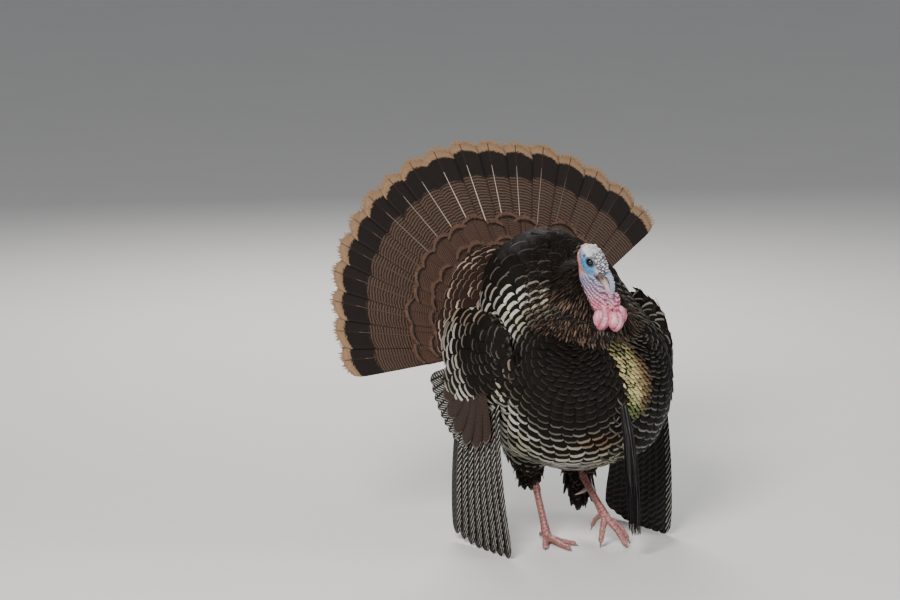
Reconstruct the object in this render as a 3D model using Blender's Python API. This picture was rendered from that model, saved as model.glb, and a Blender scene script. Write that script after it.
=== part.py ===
# Wild turkey gobbler in full strut, life size, one still model.
# Metres, +Z up. The bird faces -Y, so its own left is +X. The floor is z = 0.
# Sizes below are given in the bird's terms: left (+X), ahead (-Y) and up (+Z),
# counted from the floor point straight under the root of the tail.
# The last step slides the whole bird so that its box is centred over the origin.

import math

import bmesh
import bpy
from mathutils import Matrix, Vector

# ---- driving dimensions ---------------------------------------------------------

GAP = 0.0003                    # clearance where two pieces touch
FLOOR = 0.0

# Trunk, as level slices: up, rearmost, foremost, half width
TRUNK_SLICES = (
    (0.148, 0.120, 0.190, 0.030),
    (0.188, 0.030, 0.288, 0.134),
    (0.230, -0.010, 0.318, 0.166),
    (0.285, -0.030, 0.332, 0.188),
    (0.345, -0.020, 0.326, 0.193),
    (0.400, -0.012, 0.294, 0.184),
    (0.450, -0.016, 0.236, 0.166),
    (0.500, -0.026, 0.180, 0.150),
    (0.565, -0.026, 0.132, 0.110),
    (0.607, 0.022, 0.080, 0.032),
)
TRUNK_SQUARENESS = 2.35         # 2 is an ellipse; more is fuller at the corners

# Feathered neck, from the breast up: ahead, up, half width, half depth
NECK_STATIONS = (
    (0.205, 0.375, 0.090, 0.066),
    (0.195, 0.422, 0.106, 0.078),
    (0.178, 0.468, 0.098, 0.074),
    (0.164, 0.510, 0.074, 0.058),
    (0.162, 0.545, 0.044, 0.036),
    (0.164, 0.562, 0.018, 0.015),
)

# Head: the middle of the skull between the eyes, and how it is held
HEAD_AHEAD = 0.223
HEAD_UP = 0.558
HEAD_PITCH = math.radians(60)   # bill below level
HEAD_YAW = math.radians(30)     # bill towards the bird's left
# Along the bill's direction: place, half width, half height, centre towards the crown
HEAD_STATIONS = (
    (-0.0500, 0.0070, 0.0075, 0.000),
    (-0.0440, 0.0150, 0.0170, 0.001),
    (-0.0310, 0.0205, 0.0250, 0.001),
    (-0.0140, 0.0220, 0.0280, 0.001),
    (0.0020, 0.0200, 0.0260, 0.000),
    (0.0140, 0.0160, 0.0205, -0.002),
    (0.0230, 0.0115, 0.0145, -0.003),
    (0.0260, 0.0075, 0.0095, -0.003),
)
EYE_RADIUS = 0.0062
EYE_ALONG = -0.012
EYE_CROWNWARD = 0.005
EYE_SIDEWARD = 0.0178
# Bill, along the same direction: place, half width, half height, centre towards the crown
BILL_UPPER = (
    (0.012, 0.0088, 0.0085, 0.003),
    (0.024, 0.0083, 0.0078, 0.003),
    (0.036, 0.0068, 0.0066, 0.002),
    (0.047, 0.0048, 0.0052, -0.0005),
    (0.055, 0.0026, 0.0036, -0.0040),
    (0.059, 0.0010, 0.0014, -0.0075),
)
BILL_LOWER = (
    (0.012, 0.0080, 0.0055, -0.0115),
    (0.024, 0.0072, 0.0048, -0.0098),
    (0.036, 0.0056, 0.0038, -0.0085),
    (0.046, 0.0034, 0.0026, -0.0078),
    (0.050, 0.0014, 0.0012, -0.0078),
)
SNOOD_LENGTH = 0.052
SNOOD_ROOT_RADIUS = 0.0062
SNOOD_TIP_RADIUS = 0.0026

# Bare throat: ahead, up, half width, half depth
THROAT_STATIONS = (
    (0.196, 0.566, 0.0150, 0.0170),
    (0.204, 0.546, 0.0200, 0.0230),
    (0.216, 0.522, 0.0230, 0.0270),
    (0.230, 0.500, 0.0240, 0.0290),
    (0.238, 0.476, 0.0235, 0.0270),
    (0.240, 0.448, 0.0200, 0.0230),
    (0.236, 0.424, 0.0150, 0.0180),
)
# Wattle lobes: left, ahead, up, half width, half depth, half height
WATTLE_LOBES = (
    (-0.0150, 0.266, 0.4620, 0.0155, 0.0180, 0.0215),
    (0.0080, 0.281, 0.4580, 0.0150, 0.0160, 0.0200),
    (0.0290, 0.265, 0.4660, 0.0135, 0.0170, 0.0185),
    (0.0130, 0.272, 0.4900, 0.0105, 0.0140, 0.0120),
)

# Beard: ahead, up, half width, half depth
BEARD_STATIONS = (
    (0.318, 0.322, 0.0070, 0.0060),
    (0.334, 0.296, 0.0100, 0.0070),
    (0.343, 0.240, 0.0125, 0.0080),
    (0.347, 0.180, 0.0145, 0.0090),
    (0.350, 0.120, 0.0155, 0.0090),
    (0.351, 0.075, 0.0135, 0.0070),
    (0.351, 0.050, 0.0080, 0.0035),
)

# Tail: a fan of quills raised behind the back
TAIL_UP = 0.375
TAIL_LEAN = math.radians(31)    # from upright, backwards
TAIL_MIDDLE = math.radians(-19)    # the fan's middle line, towards the bird's right
TAIL_YAW = math.radians(-5)     # the fan's right edge is carried further back
TAIL_SPREAD = math.radians(152)
TAIL_QUILLS = 18
TAIL_LENGTH = 0.438
TAIL_ROOT = 0.045
TAIL_DISH = 0.016               # how far the tips curve towards the head
QUILL_THICKNESS = 0.0014
QUILL_STEP = 0.0012             # half the rise from one quill onto the next
QUILL_CORNER = 0.013            # how far a tip's corners fall short of its middle
COVERT_LENGTH = 0.288
COVERT_COUNT = 13
RUMP_RADIUS = 0.212
UNDERTAIL_RADIUS = 0.205

# Wings, given for the left one; the right one mirrors it
WING_HUB = (0.186, 0.082, 0.366)    # middle of the coverts: left, ahead, up
WING_REACH_AHEAD = 0.150
WING_REACH_BACK = 0.120
WING_REACH_UP = 0.112
WING_REACH_DOWN = 0.116
WING_TILT = math.radians(12)    # the front of the coverts is carried higher
WING_CROWN = 0.036
TAIL_ROOM = {"left": 0.085, "right": -0.050}  # how low the tail reaches beside each wing
SECONDARY_HUB = (0.2060, 0.140, 0.388)
SECONDARY_QUILLS = 9
SECONDARY_FIRST = math.radians(22)  # below level, pointing back
SECONDARY_LAST = math.radians(80)
SECONDARY_LENGTHS = (0.205, 0.208)
PRIMARY_HUB = (0.2060, 0.104, 0.800)  # where the hanging quills' lines would meet
PRIMARY_ROOT = 0.530
PRIMARY_QUILLS = 9
PRIMARY_FIRST = math.radians(-5.8)  # ahead of straight down
PRIMARY_LAST = math.radians(6.2)
PRIMARY_SPLAY = math.radians(-1.4)  # tips stand in towards the feet
PRIMARY_LENGTHS = (0.775, 0.8025, 0.8060)

# Legs, for the standing right one and the stepping left one: left, ahead, up
TARSUS_HALF_WIDTH = 0.0068
TARSUS_HALF_DEPTH = 0.0082
TOE_HALF_WIDTH = 0.0062
TOE_HALF_DEPTH = 0.0060
PALM = (0.0098, 0.0112, 0.0095)
SPUR_LENGTH = 0.023
SPUR_RADIUS = 0.0050
CLAW_LENGTH = 0.014
LEGS = {
    "right": {
        "thigh": ((-0.070, 0.085, 0.235), (-0.060, 0.080, 0.175), (-0.048, 0.072, 0.128)),
        "thigh_sizes": ((0.056, 0.070), (0.044, 0.054), (0.019, 0.023)),
        "hock": (-0.047, 0.074, 0.146),
        "ankle": (-0.045, 0.128, 0.013),
        "spur_along": 0.52,
        "toes": {
            "2": ((-0.045, 0.130, 0.010), (-0.030, 0.158, 0.0052), (-0.019, 0.184, 0.0042)),
            "3": ((-0.045, 0.130, 0.010), (-0.047, 0.172, 0.0052), (-0.050, 0.212, 0.0042)),
            "4": ((-0.045, 0.130, 0.010), (-0.067, 0.156, 0.0052), (-0.083, 0.179, 0.0042)),
            "1": ((-0.045, 0.128, 0.016), (-0.039, 0.108, 0.0120), (-0.034, 0.092, 0.0070)),
        },
    },
    "left": {
        "thigh": ((0.068, 0.110, 0.235), (0.056, 0.108, 0.172), (0.040, 0.106, 0.112)),
        "thigh_sizes": ((0.056, 0.068), (0.046, 0.054), (0.022, 0.027)),
        "hock": (0.036, 0.102, 0.152),
        "ankle": (0.034, 0.212, 0.060),
        "spur_along": 0.50,
        "toes": {
            "2": ((0.034, 0.214, 0.058), (0.023, 0.222, 0.036), (0.016, 0.226, 0.014)),
            "3": ((0.034, 0.214, 0.058), (0.046, 0.240, 0.032), (0.054, 0.254, 0.0080)),
            "4": ((0.034, 0.214, 0.058), (0.060, 0.224, 0.036), (0.074, 0.232, 0.014)),
            "1": ((0.034, 0.208, 0.062), (0.031, 0.188, 0.048), (0.030, 0.178, 0.034)),
        },
    },
}

# Colours: name, red-green-blue, roughness, metallic
FINISHES = {
    "dark_plumage": ((0.020, 0.016, 0.014), 0.45, 0.10),
    "copper_plumage": ((0.110, 0.050, 0.028), 0.45, 0.10),
    "tail_plumage": ((0.150, 0.075, 0.040), 0.60, 0.00),
    "barred_plumage": ((0.180, 0.170, 0.155), 0.60, 0.00),
    "bare_skin": ((0.450, 0.620, 0.780), 0.45, 0.00),
    "wattle_skin": ((0.800, 0.240, 0.280), 0.40, 0.00),
    "horn": ((0.420, 0.330, 0.260), 0.35, 0.00),
    "eye": ((0.025, 0.012, 0.008), 0.06, 0.00),
    "scaled_leg": ((0.420, 0.160, 0.140), 0.50, 0.00),
    "beard": ((0.020, 0.016, 0.014), 0.60, 0.00),
}


# ---- helpers --------------------------------------------------------------------

def at(left, ahead, up):
    return Vector((left, -ahead, up))


def finish(name):
    made = bpy.data.materials.get(name)
    if made:
        return made
    colour, roughness, metallic = FINISHES[name]
    made = bpy.data.materials.new(name)
    made.use_nodes = True
    shader = made.node_tree.nodes["Principled BSDF"]
    shader.inputs["Base Color"].default_value = (*colour, 1.0)
    shader.inputs["Roughness"].default_value = roughness
    shader.inputs["Metallic"].default_value = metallic
    made.diffuse_color = (*colour, 1.0)
    return made


def add_piece(name, verts, faces, finish_name):
    mesh = bpy.data.meshes.new(name)
    mesh.from_pydata([tuple(v) for v in verts], [], faces)
    bm = bmesh.new()
    bm.from_mesh(mesh)
    bmesh.ops.recalc_face_normals(bm, faces=bm.faces)
    if bm.calc_volume(signed=True) < 0:
        bmesh.ops.reverse_faces(bm, faces=bm.faces)
    bm.to_mesh(mesh)
    bm.free()
    mesh.shade_smooth()
    mesh.set_sharp_from_angle(angle=math.radians(50))
    piece = bpy.data.objects.new(name, mesh)
    piece.data.materials.append(finish(finish_name))
    bpy.context.scene.collection.objects.link(piece)
    return piece


def spline(rows, steps):
    # A smooth run through the rows: steps points from each row to the next
    padded = [rows[0], *rows, rows[-1]]
    out = []
    for k in range(1, len(padded) - 2):
        before, start, end, after = padded[k - 1:k + 3]
        for step in range(steps):
            t = step / steps
            out.append(tuple(
                0.5 * (2 * b + (c - a) * t + (2 * a - 5 * b + 4 * c - d) * t * t
                       + (3 * b - a - 3 * c + d) * t ** 3)
                for a, b, c, d in zip(before, start, end, after)
            ))
    out.append(tuple(rows[-1]))
    return out


def rounded(angle, squareness=2.0):
    # A point of a unit superellipse
    c, s = math.cos(angle), math.sin(angle)
    power = 2 / squareness
    return math.copysign(abs(c) ** power, c), math.copysign(abs(s) ** power, s)


def skin_rings(name, rings, finish_name):
    # Closes a row of equal rings into one body, with a point at each end
    count = len(rings[0])
    verts = [p for ring in rings for p in ring]
    faces = []
    for i in range(len(rings) - 1):
        for j in range(count):
            k = (j + 1) % count
            faces.append((i * count + j, i * count + k, (i + 1) * count + k, (i + 1) * count + j))
    for ring, start in ((rings[0], 0), (rings[-1], (len(rings) - 1) * count)):
        middle = sum(ring, Vector()) / count
        verts.append(middle)
        tip = len(verts) - 1
        faces.extend((tip, start + j, start + (j + 1) % count) for j in range(count))
    return add_piece(name, verts, faces, finish_name)


def tube(name, path, sizes, across, finish_name, sides=12, on_floor=False):
    # A body along a path; each size is the half width across and the half depth.
    # One that stands on the floor turns a flat facet down and is trimmed there.
    turn = 0.0 if on_floor else 0.5
    rings = []
    for i, centre in enumerate(path):
        ahead = (path[min(i + 1, len(path) - 1)] - path[max(i - 1, 0)]).normalized()
        side = (across - ahead * across.dot(ahead)).normalized()
        depth = ahead.cross(side)
        half_width, half_depth = sizes[i]
        ring = []
        for j in range(sides):
            c, s = rounded(2 * math.pi * (j + turn) / sides)
            point = centre + side * (half_width * c) + depth * (half_depth * s)
            if on_floor:
                point.z = max(point.z, FLOOR)
            ring.append(point)
        rings.append(ring)
    return skin_rings(name, rings, finish_name)


def egg(name, centre, half, finish_name, sides=14, rows=9):
    # An ellipsoid standing on its long axis
    rings = []
    for i in range(1, rows):
        lift = math.pi * i / rows
        rings.append([
            centre + Vector((
                half[0] * math.sin(lift) * math.cos(2 * math.pi * j / sides),
                half[1] * math.sin(lift) * math.sin(2 * math.pi * j / sides),
                -half[2] * math.cos(lift),
            ))
            for j in range(sides)
        ])
    return skin_rings(name, rings, finish_name)


def dome(name, hub, axes, rim, front, back, finish_name, sides, rows):
    # A lens on a disc: axes are two directions in the disc and the way it faces.
    # rim gives its radius at an angle; front and back give its two faces' heights.
    first, second, facing = axes
    verts = [hub + facing * front(0.0, 0.0), hub + facing * back(0.0, 0.0)]
    for face in (front, back):
        for i in range(1, rows + 1):
            share = i / rows
            for j in range(sides):
                angle = 2 * math.pi * j / sides
                radius = rim(angle) * share
                flat = first * (radius * math.cos(angle)) + second * (radius * math.sin(angle))
                verts.append(hub + flat + facing * face(share, radius))
    faces = []
    for side in (0, 1):
        start = 2 + side * rows * sides
        for j in range(sides):
            k = (j + 1) % sides
            faces.append((side, start + j, start + k))
            for i in range(rows - 1):
                inner, outer = start + i * sides, start + (i + 1) * sides
                faces.append((inner + j, outer + j, outer + k, inner + k))
    last = 2 + (rows - 1) * sides
    for j in range(sides):
        k = (j + 1) % sides
        faces.append((last + j, last + rows * sides + j, last + rows * sides + k, last + k))
    return add_piece(name, verts, faces, finish_name)


def quill_fan(name, hub, axes, angles, lengths, root, bow, finish_name, corner,
              shares, steps):
    # Quills side by side round a hub, each lying on the next like cards in a hand.
    # Angles turn from the first axis to the second. bow lifts a point at a radius.
    first, second, facing = axes
    slot = abs(angles[1] - angles[0])
    seam = slot * 0.02
    columns = []
    middle = (len(angles) - 1) / 2
    for k, (angle, length) in enumerate(zip(angles, lengths)):
        turn = 1.0 if angles[-1] > angles[0] else -1.0
        lies = 1.0 if k >= middle else -1.0
        for share in shares:
            offset = share - 0.5
            way = angle + turn * offset * (slot - seam)
            rise = lies * QUILL_STEP * 2 * offset
            tip = length - corner * abs(2 * offset) ** 3
            columns.append((way, tip, rise))
    verts = []
    for half in (0.5, -0.5):
        for way, tip, rise in columns:
            for step in steps:
                radius = root + (tip - root) * step
                flat = first * (radius * math.cos(way)) + second * (radius * math.sin(way))
                lift = bow(radius) + rise + half * QUILL_THICKNESS
                point = hub + flat + facing * lift
                point.z = max(point.z, FLOOR)
                verts.append(point)
    rows, count = len(steps), len(columns)
    other = rows * count
    faces = []
    for i in range(count - 1):
        for j in range(rows - 1):
            a, b = i * rows + j, (i + 1) * rows + j
            faces.append((a, a + 1, b + 1, b))
            faces.append((other + a, other + b, other + b + 1, other + a + 1))
        for j in (0, rows - 1):
            a, b = i * rows + j, (i + 1) * rows + j
            faces.append((a, b, other + b, other + a))
    for i in (0, count - 1):
        for j in range(rows - 1):
            a = i * rows + j
            faces.append((a, a + 1, other + a + 1, other + a))
    return add_piece(name, verts, faces, finish_name)


def grown(piece, by):
    # A copy of the piece's mesh, swollen evenly
    copy = piece.data.copy()
    bm = bmesh.new()
    bm.from_mesh(copy)
    bm.normal_update()
    moves = [(v, v.normal.copy()) for v in bm.verts]
    for vert, normal in moves:
        sharpness = max(0.5, min(1.0, vert.calc_shell_factor() ** -1))
        vert.co += normal * (by / sharpness)
    bm.to_mesh(copy)
    bm.free()
    return copy


def boolean(piece, mesh, operation):
    helper = bpy.data.objects.new("helper", mesh)
    helper.hide_render = True
    helper.display_type = "WIRE"
    bpy.context.scene.collection.objects.link(helper)
    modifier = piece.modifiers.new("cut", "BOOLEAN")
    modifier.operation = operation
    modifier.solver = "EXACT"
    modifier.object = helper
    graph = bpy.context.evaluated_depsgraph_get()
    cut_mesh = bpy.data.meshes.new_from_object(piece.evaluated_get(graph))
    piece.modifiers.remove(modifier)
    old = piece.data
    piece.data = cut_mesh
    cut_mesh.name = piece.name
    bpy.data.objects.remove(helper)
    bpy.data.meshes.remove(mesh)
    bpy.data.meshes.remove(old)
    tidy(piece)


def tidy(piece):
    # Triangles only, no doubled points, and only the largest closed island
    bm = bmesh.new()
    bm.from_mesh(piece.data)
    bmesh.ops.remove_doubles(bm, verts=bm.verts, dist=0.00002)
    bmesh.ops.dissolve_degenerate(bm, dist=0.00001, edges=bm.edges)
    bmesh.ops.triangulate(bm, faces=bm.faces)
    left = set(bm.verts)
    islands = []
    while left:
        island = {left.pop()}
        edge_of_search = list(island)
        while edge_of_search:
            for edge in edge_of_search.pop().link_edges:
                for vert in edge.verts:
                    if vert in left:
                        left.discard(vert)
                        island.add(vert)
                        edge_of_search.append(vert)
        islands.append(island)
    largest = max(islands, key=len)
    spare = [v for island in islands if island is not largest for v in island]
    bmesh.ops.delete(bm, geom=spare, context="VERTS")
    bmesh.ops.recalc_face_normals(bm, faces=bm.faces)
    bm.to_mesh(piece.data)
    bm.free()
    piece.data.shade_smooth()
    piece.data.set_sharp_from_angle(angle=math.radians(50))


def cut_by(piece, *others):
    for other in others:
        boolean(piece, grown(other, GAP), "DIFFERENCE")


def join_in(piece, *others):
    for other in others:
        boolean(piece, other.data.copy(), "UNION")
        bpy.data.objects.remove(other)


# ---- body -----------------------------------------------------------------------

def make_trunk():
    sides = 22
    rings = []
    for up, rear, fore, half_width in spline(TRUNK_SLICES, 2):
        middle, half_length = (rear + fore) / 2, (fore - rear) / 2
        ring = []
        for j in range(sides):
            c, s = rounded(2 * math.pi * (j + 0.5) / sides, TRUNK_SQUARENESS)
            ring.append(at(half_width * c, middle + half_length * s, up))
        rings.append(ring)
    return skin_rings("trunk", rings, "dark_plumage")


def make_upright(name, stations, finish_name, sides, steps):
    # A body of rings along a path in the bird's middle plane
    rows = spline(stations, steps)
    path = [at(0.0, ahead, up) for ahead, up, _, _ in rows]
    sizes = [(half_width, half_depth) for _, _, half_width, half_depth in rows]
    return tube(name, path, sizes, Vector((1, 0, 0)), finish_name, sides=sides)


# ---- head -----------------------------------------------------------------------

def head_axes():
    level = at(math.sin(HEAD_YAW), math.cos(HEAD_YAW), 0.0)
    up = Vector((0, 0, 1))
    along = level * math.cos(HEAD_PITCH) - up * math.sin(HEAD_PITCH)
    crown = level * math.sin(HEAD_PITCH) + up * math.cos(HEAD_PITCH)
    left = along.cross(crown)
    if left.x < 0:
        left = -left
    return along, crown, left


def head_tube(name, stations, finish_name, sides, steps):
    along, crown, left = head_axes()
    centre = at(0.0, HEAD_AHEAD, HEAD_UP)
    rows = spline(stations, steps)
    path = [centre + along * place + crown * lift for place, _, _, lift in rows]
    sizes = [(half_width, half_height) for _, half_width, half_height, _ in rows]
    return tube(name, path, sizes, left, finish_name, sides=sides)


def make_head():
    along, crown, left = head_axes()
    centre = at(0.0, HEAD_AHEAD, HEAD_UP)
    head = head_tube("head", HEAD_STATIONS, "bare_skin", 14, 1)
    eyes = []
    for side, sign in (("left", 1), ("right", -1)):
        place = (centre + along * EYE_ALONG + crown * EYE_CROWNWARD
                 + left * (sign * EYE_SIDEWARD))
        eyes.append(egg("eye_" + side, place, (EYE_RADIUS,) * 3, "eye", 8, 6))
    cut_by(head, *eyes)
    upper = head_tube("bill_upper", BILL_UPPER, "horn", 10, 1)
    cut_by(upper, head)
    lower = head_tube("bill_lower", BILL_LOWER, "horn", 10, 1)
    cut_by(lower, head, upper)
    root = centre + along * 0.014 + crown * 0.0150
    drop = Vector((0, 0, -1))
    steps = 5
    path = []
    sizes = []
    for i in range(steps + 1):
        share = i / steps
        out = crown * (0.012 * math.sin(share * math.pi / 2)) + left * (0.004 * share)
        path.append(root + out + (along * (1 - share) + drop * share) * (SNOOD_LENGTH * share))
        radius = SNOOD_ROOT_RADIUS + (SNOOD_TIP_RADIUS - SNOOD_ROOT_RADIUS) * share ** 0.7
        sizes.append((radius, radius))
    snood = tube("snood", path, sizes, left, "wattle_skin", sides=8)
    cut_by(snood, head, upper)
    return head, upper, lower, snood


def make_wattles():
    lobes = [
        egg("lobe", at(*lobe[:3]), (lobe[3], lobe[4], lobe[5]), "wattle_skin", 8, 6)
        for lobe in WATTLE_LOBES
    ]
    wattles = lobes[0]
    join_in(wattles, *lobes[1:])
    wattles.name = "wattles"
    return wattles


# ---- tail -----------------------------------------------------------------------

def tail_axes():
    # Up the leaning fan, towards the bird's left, and the way its upper side faces
    turn = Matrix.Rotation(TAIL_YAW, 3, "Z")
    up = at(0.0, -math.sin(TAIL_LEAN), math.cos(TAIL_LEAN))
    left = Vector((1, 0, 0))
    facing = at(0.0, math.cos(TAIL_LEAN), math.sin(TAIL_LEAN))
    return turn @ up, turn @ left, turn @ facing


def tail_bow(radius):
    return TAIL_DISH * (radius / TAIL_LENGTH) ** 2


def spaced(middle, spread, count):
    slot = spread / count
    return [middle - spread / 2 + slot * (k + 0.5) for k in range(count)]


def make_tail(trunk):
    hub = at(0.0, 0.0, TAIL_UP)
    axes = tail_axes()
    angles = spaced(TAIL_MIDDLE, TAIL_SPREAD, TAIL_QUILLS)
    lengths = []
    for angle in angles:
        aside = abs(angle - TAIL_MIDDLE) / (TAIL_SPREAD / 2)
        lengths.append(TAIL_LENGTH * (1 - 0.035 * aside ** 4))
    fan = quill_fan("tail_fan", hub, axes, angles, lengths, TAIL_ROOT, tail_bow, "tail_plumage",
                    QUILL_CORNER, (0.0, 0.22, 0.78, 1.0), (0.0, 0.5, 1.0))
    cut_by(fan, trunk)

    face = QUILL_STEP + QUILL_THICKNESS / 2 + 3 * GAP
    covert_spread = TAIL_SPREAD * 0.985

    def covert_rim(angle):
        # Angles run from the fan's up line; the coverts stop where the quills do
        turn = (angle - TAIL_MIDDLE + math.pi) % (2 * math.pi) - math.pi
        beyond = max(0.0, abs(turn) - covert_spread / 2)
        scallop = abs(math.sin(turn * COVERT_COUNT * math.pi / covert_spread / 2))
        long_side = COVERT_LENGTH * (0.965 + 0.035 * scallop)
        return 0.09 + (long_side - 0.09) * math.exp(-(beyond / 0.22) ** 2)

    def covert_front(share, radius):
        return tail_bow(radius) + face + 0.0016 + 0.020 * (1 - share)

    def covert_back(share, radius):
        return tail_bow(radius) + face

    coverts = dome("tail_coverts", hub, axes, covert_rim, covert_front, covert_back,
                   "copper_plumage", sides=44, rows=2)
    cut_by(coverts, trunk)

    def rump_rim(angle):
        turn = (angle - 0.5 * TAIL_MIDDLE + math.pi) % (2 * math.pi) - math.pi
        low = max(0.0, abs(turn) - math.radians(100))
        return RUMP_RADIUS * (0.97 + 0.03 * math.cos(turn * 22)) * (1 - 0.35 * low)

    def rump_back(share, radius):
        return tail_bow(radius) + face + 0.0030 + 0.020 * (1 - radius / COVERT_LENGTH)

    def rump_front(share, radius):
        return rump_back(share, radius) + 0.0025 + 0.062 * (1 - share ** 2.2)

    rump = dome("rump", hub, axes, rump_rim, rump_front, rump_back, "copper_plumage",
                sides=28, rows=3)
    cut_by(rump, trunk)

    def under_rim(angle):
        turn = (angle - TAIL_MIDDLE + math.pi) % (2 * math.pi) - math.pi
        high = 0.5 + 0.5 * math.cos(turn)
        return UNDERTAIL_RADIUS * (0.56 + 0.44 * high ** 2) * (0.98 + 0.02 * math.cos(turn * 16))

    def under_front(share, radius):
        return tail_bow(radius) - face

    def under_back(share, radius):
        return tail_bow(radius) - face - 0.0016 - 0.050 * (1 - share ** 1.6)

    under = dome("undertail", hub, axes, under_rim, under_front, under_back, "tail_plumage",
                 sides=24, rows=2)
    cut_by(under, trunk)
    return rump


# ---- wings ----------------------------------------------------------------------

def tail_room(side, sign, clear):
    # The slab that the spread tail takes up beside a wing
    up, left, facing = tail_axes()
    hub = at(0.0, 0.0, TAIL_UP)
    low, high = TAIL_ROOM[side] - clear, TAIL_ROOM[side] + 0.40
    corners = [
        hub + left * (sign * across) + up * along + facing * depth
        for across in (0.08, 0.40)
        for along in (low, high)
        for depth in (-0.120 - clear, 0.021 + clear)
    ]
    mesh = bpy.data.meshes.new("tail_room")
    faces = [(0, 1, 3, 2), (4, 6, 7, 5), (0, 4, 5, 1), (2, 3, 7, 6), (0, 2, 6, 4), (1, 5, 7, 3)]
    mesh.from_pydata([tuple(c) for c in corners], [], faces)
    bm = bmesh.new()
    bm.from_mesh(mesh)
    bmesh.ops.recalc_face_normals(bm, faces=bm.faces)
    bm.to_mesh(mesh)
    bm.free()
    return mesh


def make_wing(side, sign, trunk, rump):
    outward = Vector((sign, 0, 0))
    ahead = at(0.0, 1.0, 0.0)
    back = -ahead
    up = Vector((0, 0, 1))
    down = -up

    def wing_rim(angle):
        c, s = math.cos(angle), math.sin(angle)
        reach_level = WING_REACH_AHEAD if c > 0 else WING_REACH_BACK
        reach_up = WING_REACH_UP if s > 0 else WING_REACH_DOWN
        return ((abs(c) / reach_level) ** 2.4 + (abs(s) / reach_up) ** 2.4) ** (-1 / 2.4)

    hub = at(sign * WING_HUB[0], WING_HUB[1], WING_HUB[2])
    level = ahead * math.cos(WING_TILT) + up * math.sin(WING_TILT)
    upright = up * math.cos(WING_TILT) - ahead * math.sin(WING_TILT)
    coverts = dome(
        "wing_coverts_" + side, hub, (level, upright, outward), wing_rim,
        lambda share, radius: WING_CROWN * (1 - share ** 2.4) ** 0.7 + 0.001,
        lambda share, radius: -0.030 * (1 - share ** 2.4) ** 0.7 - 0.002,
        "dark_plumage", sides=18, rows=3)
    cut_by(coverts, trunk, rump)
    boolean(coverts, tail_room(side, sign, 0.0), "DIFFERENCE")

    # Secondaries point back and fan down under the coverts
    first, last = SECONDARY_FIRST, SECONDARY_LAST
    angles = spaced((first + last) / 2, last - first, SECONDARY_QUILLS)
    short, long = SECONDARY_LENGTHS
    lengths = [short + (long - short) * k / (SECONDARY_QUILLS - 1) for k in range(SECONDARY_QUILLS)]
    secondaries = quill_fan(
        "wing_secondaries_" + side,
        at(sign * SECONDARY_HUB[0], SECONDARY_HUB[1], SECONDARY_HUB[2]),
        (back, down, outward), angles, lengths, 0.075,
        lambda radius: 0.0, "barred_plumage", 0.009, (0.0, 0.5, 1.0), (0.0, 1.0))
    boolean(secondaries, tail_room(side, sign, 0.002), "DIFFERENCE")
    cut_by(secondaries, coverts, trunk, rump)

    # Primaries hang almost straight down to the floor
    splayed = (down * math.cos(PRIMARY_SPLAY) + outward * math.sin(PRIMARY_SPLAY))
    facing = (outward * math.cos(PRIMARY_SPLAY) - down * math.sin(PRIMARY_SPLAY))
    angles = spaced((PRIMARY_FIRST + PRIMARY_LAST) / 2, PRIMARY_LAST - PRIMARY_FIRST,
                    PRIMARY_QUILLS)
    rear, mid, fore = PRIMARY_LENGTHS
    lengths = []
    for k in range(PRIMARY_QUILLS):
        share = k / (PRIMARY_QUILLS - 1)
        lengths.append(rear + (mid - rear) * min(1.0, share / 0.45)
                       + (fore - mid) * max(0.0, (share - 0.45) / 0.55))
    primaries = quill_fan(
        "wing_primaries_" + side,
        at(sign * PRIMARY_HUB[0], PRIMARY_HUB[1], PRIMARY_HUB[2]),
        (splayed, ahead, facing), angles, lengths, PRIMARY_ROOT,
        lambda radius: 0.0, "barred_plumage", 0.010, (0.0, 0.5, 1.0), (0.0, 1.0))
    cut_by(primaries, coverts, trunk)
    return coverts, secondaries, primaries


# ---- legs -----------------------------------------------------------------------

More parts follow.
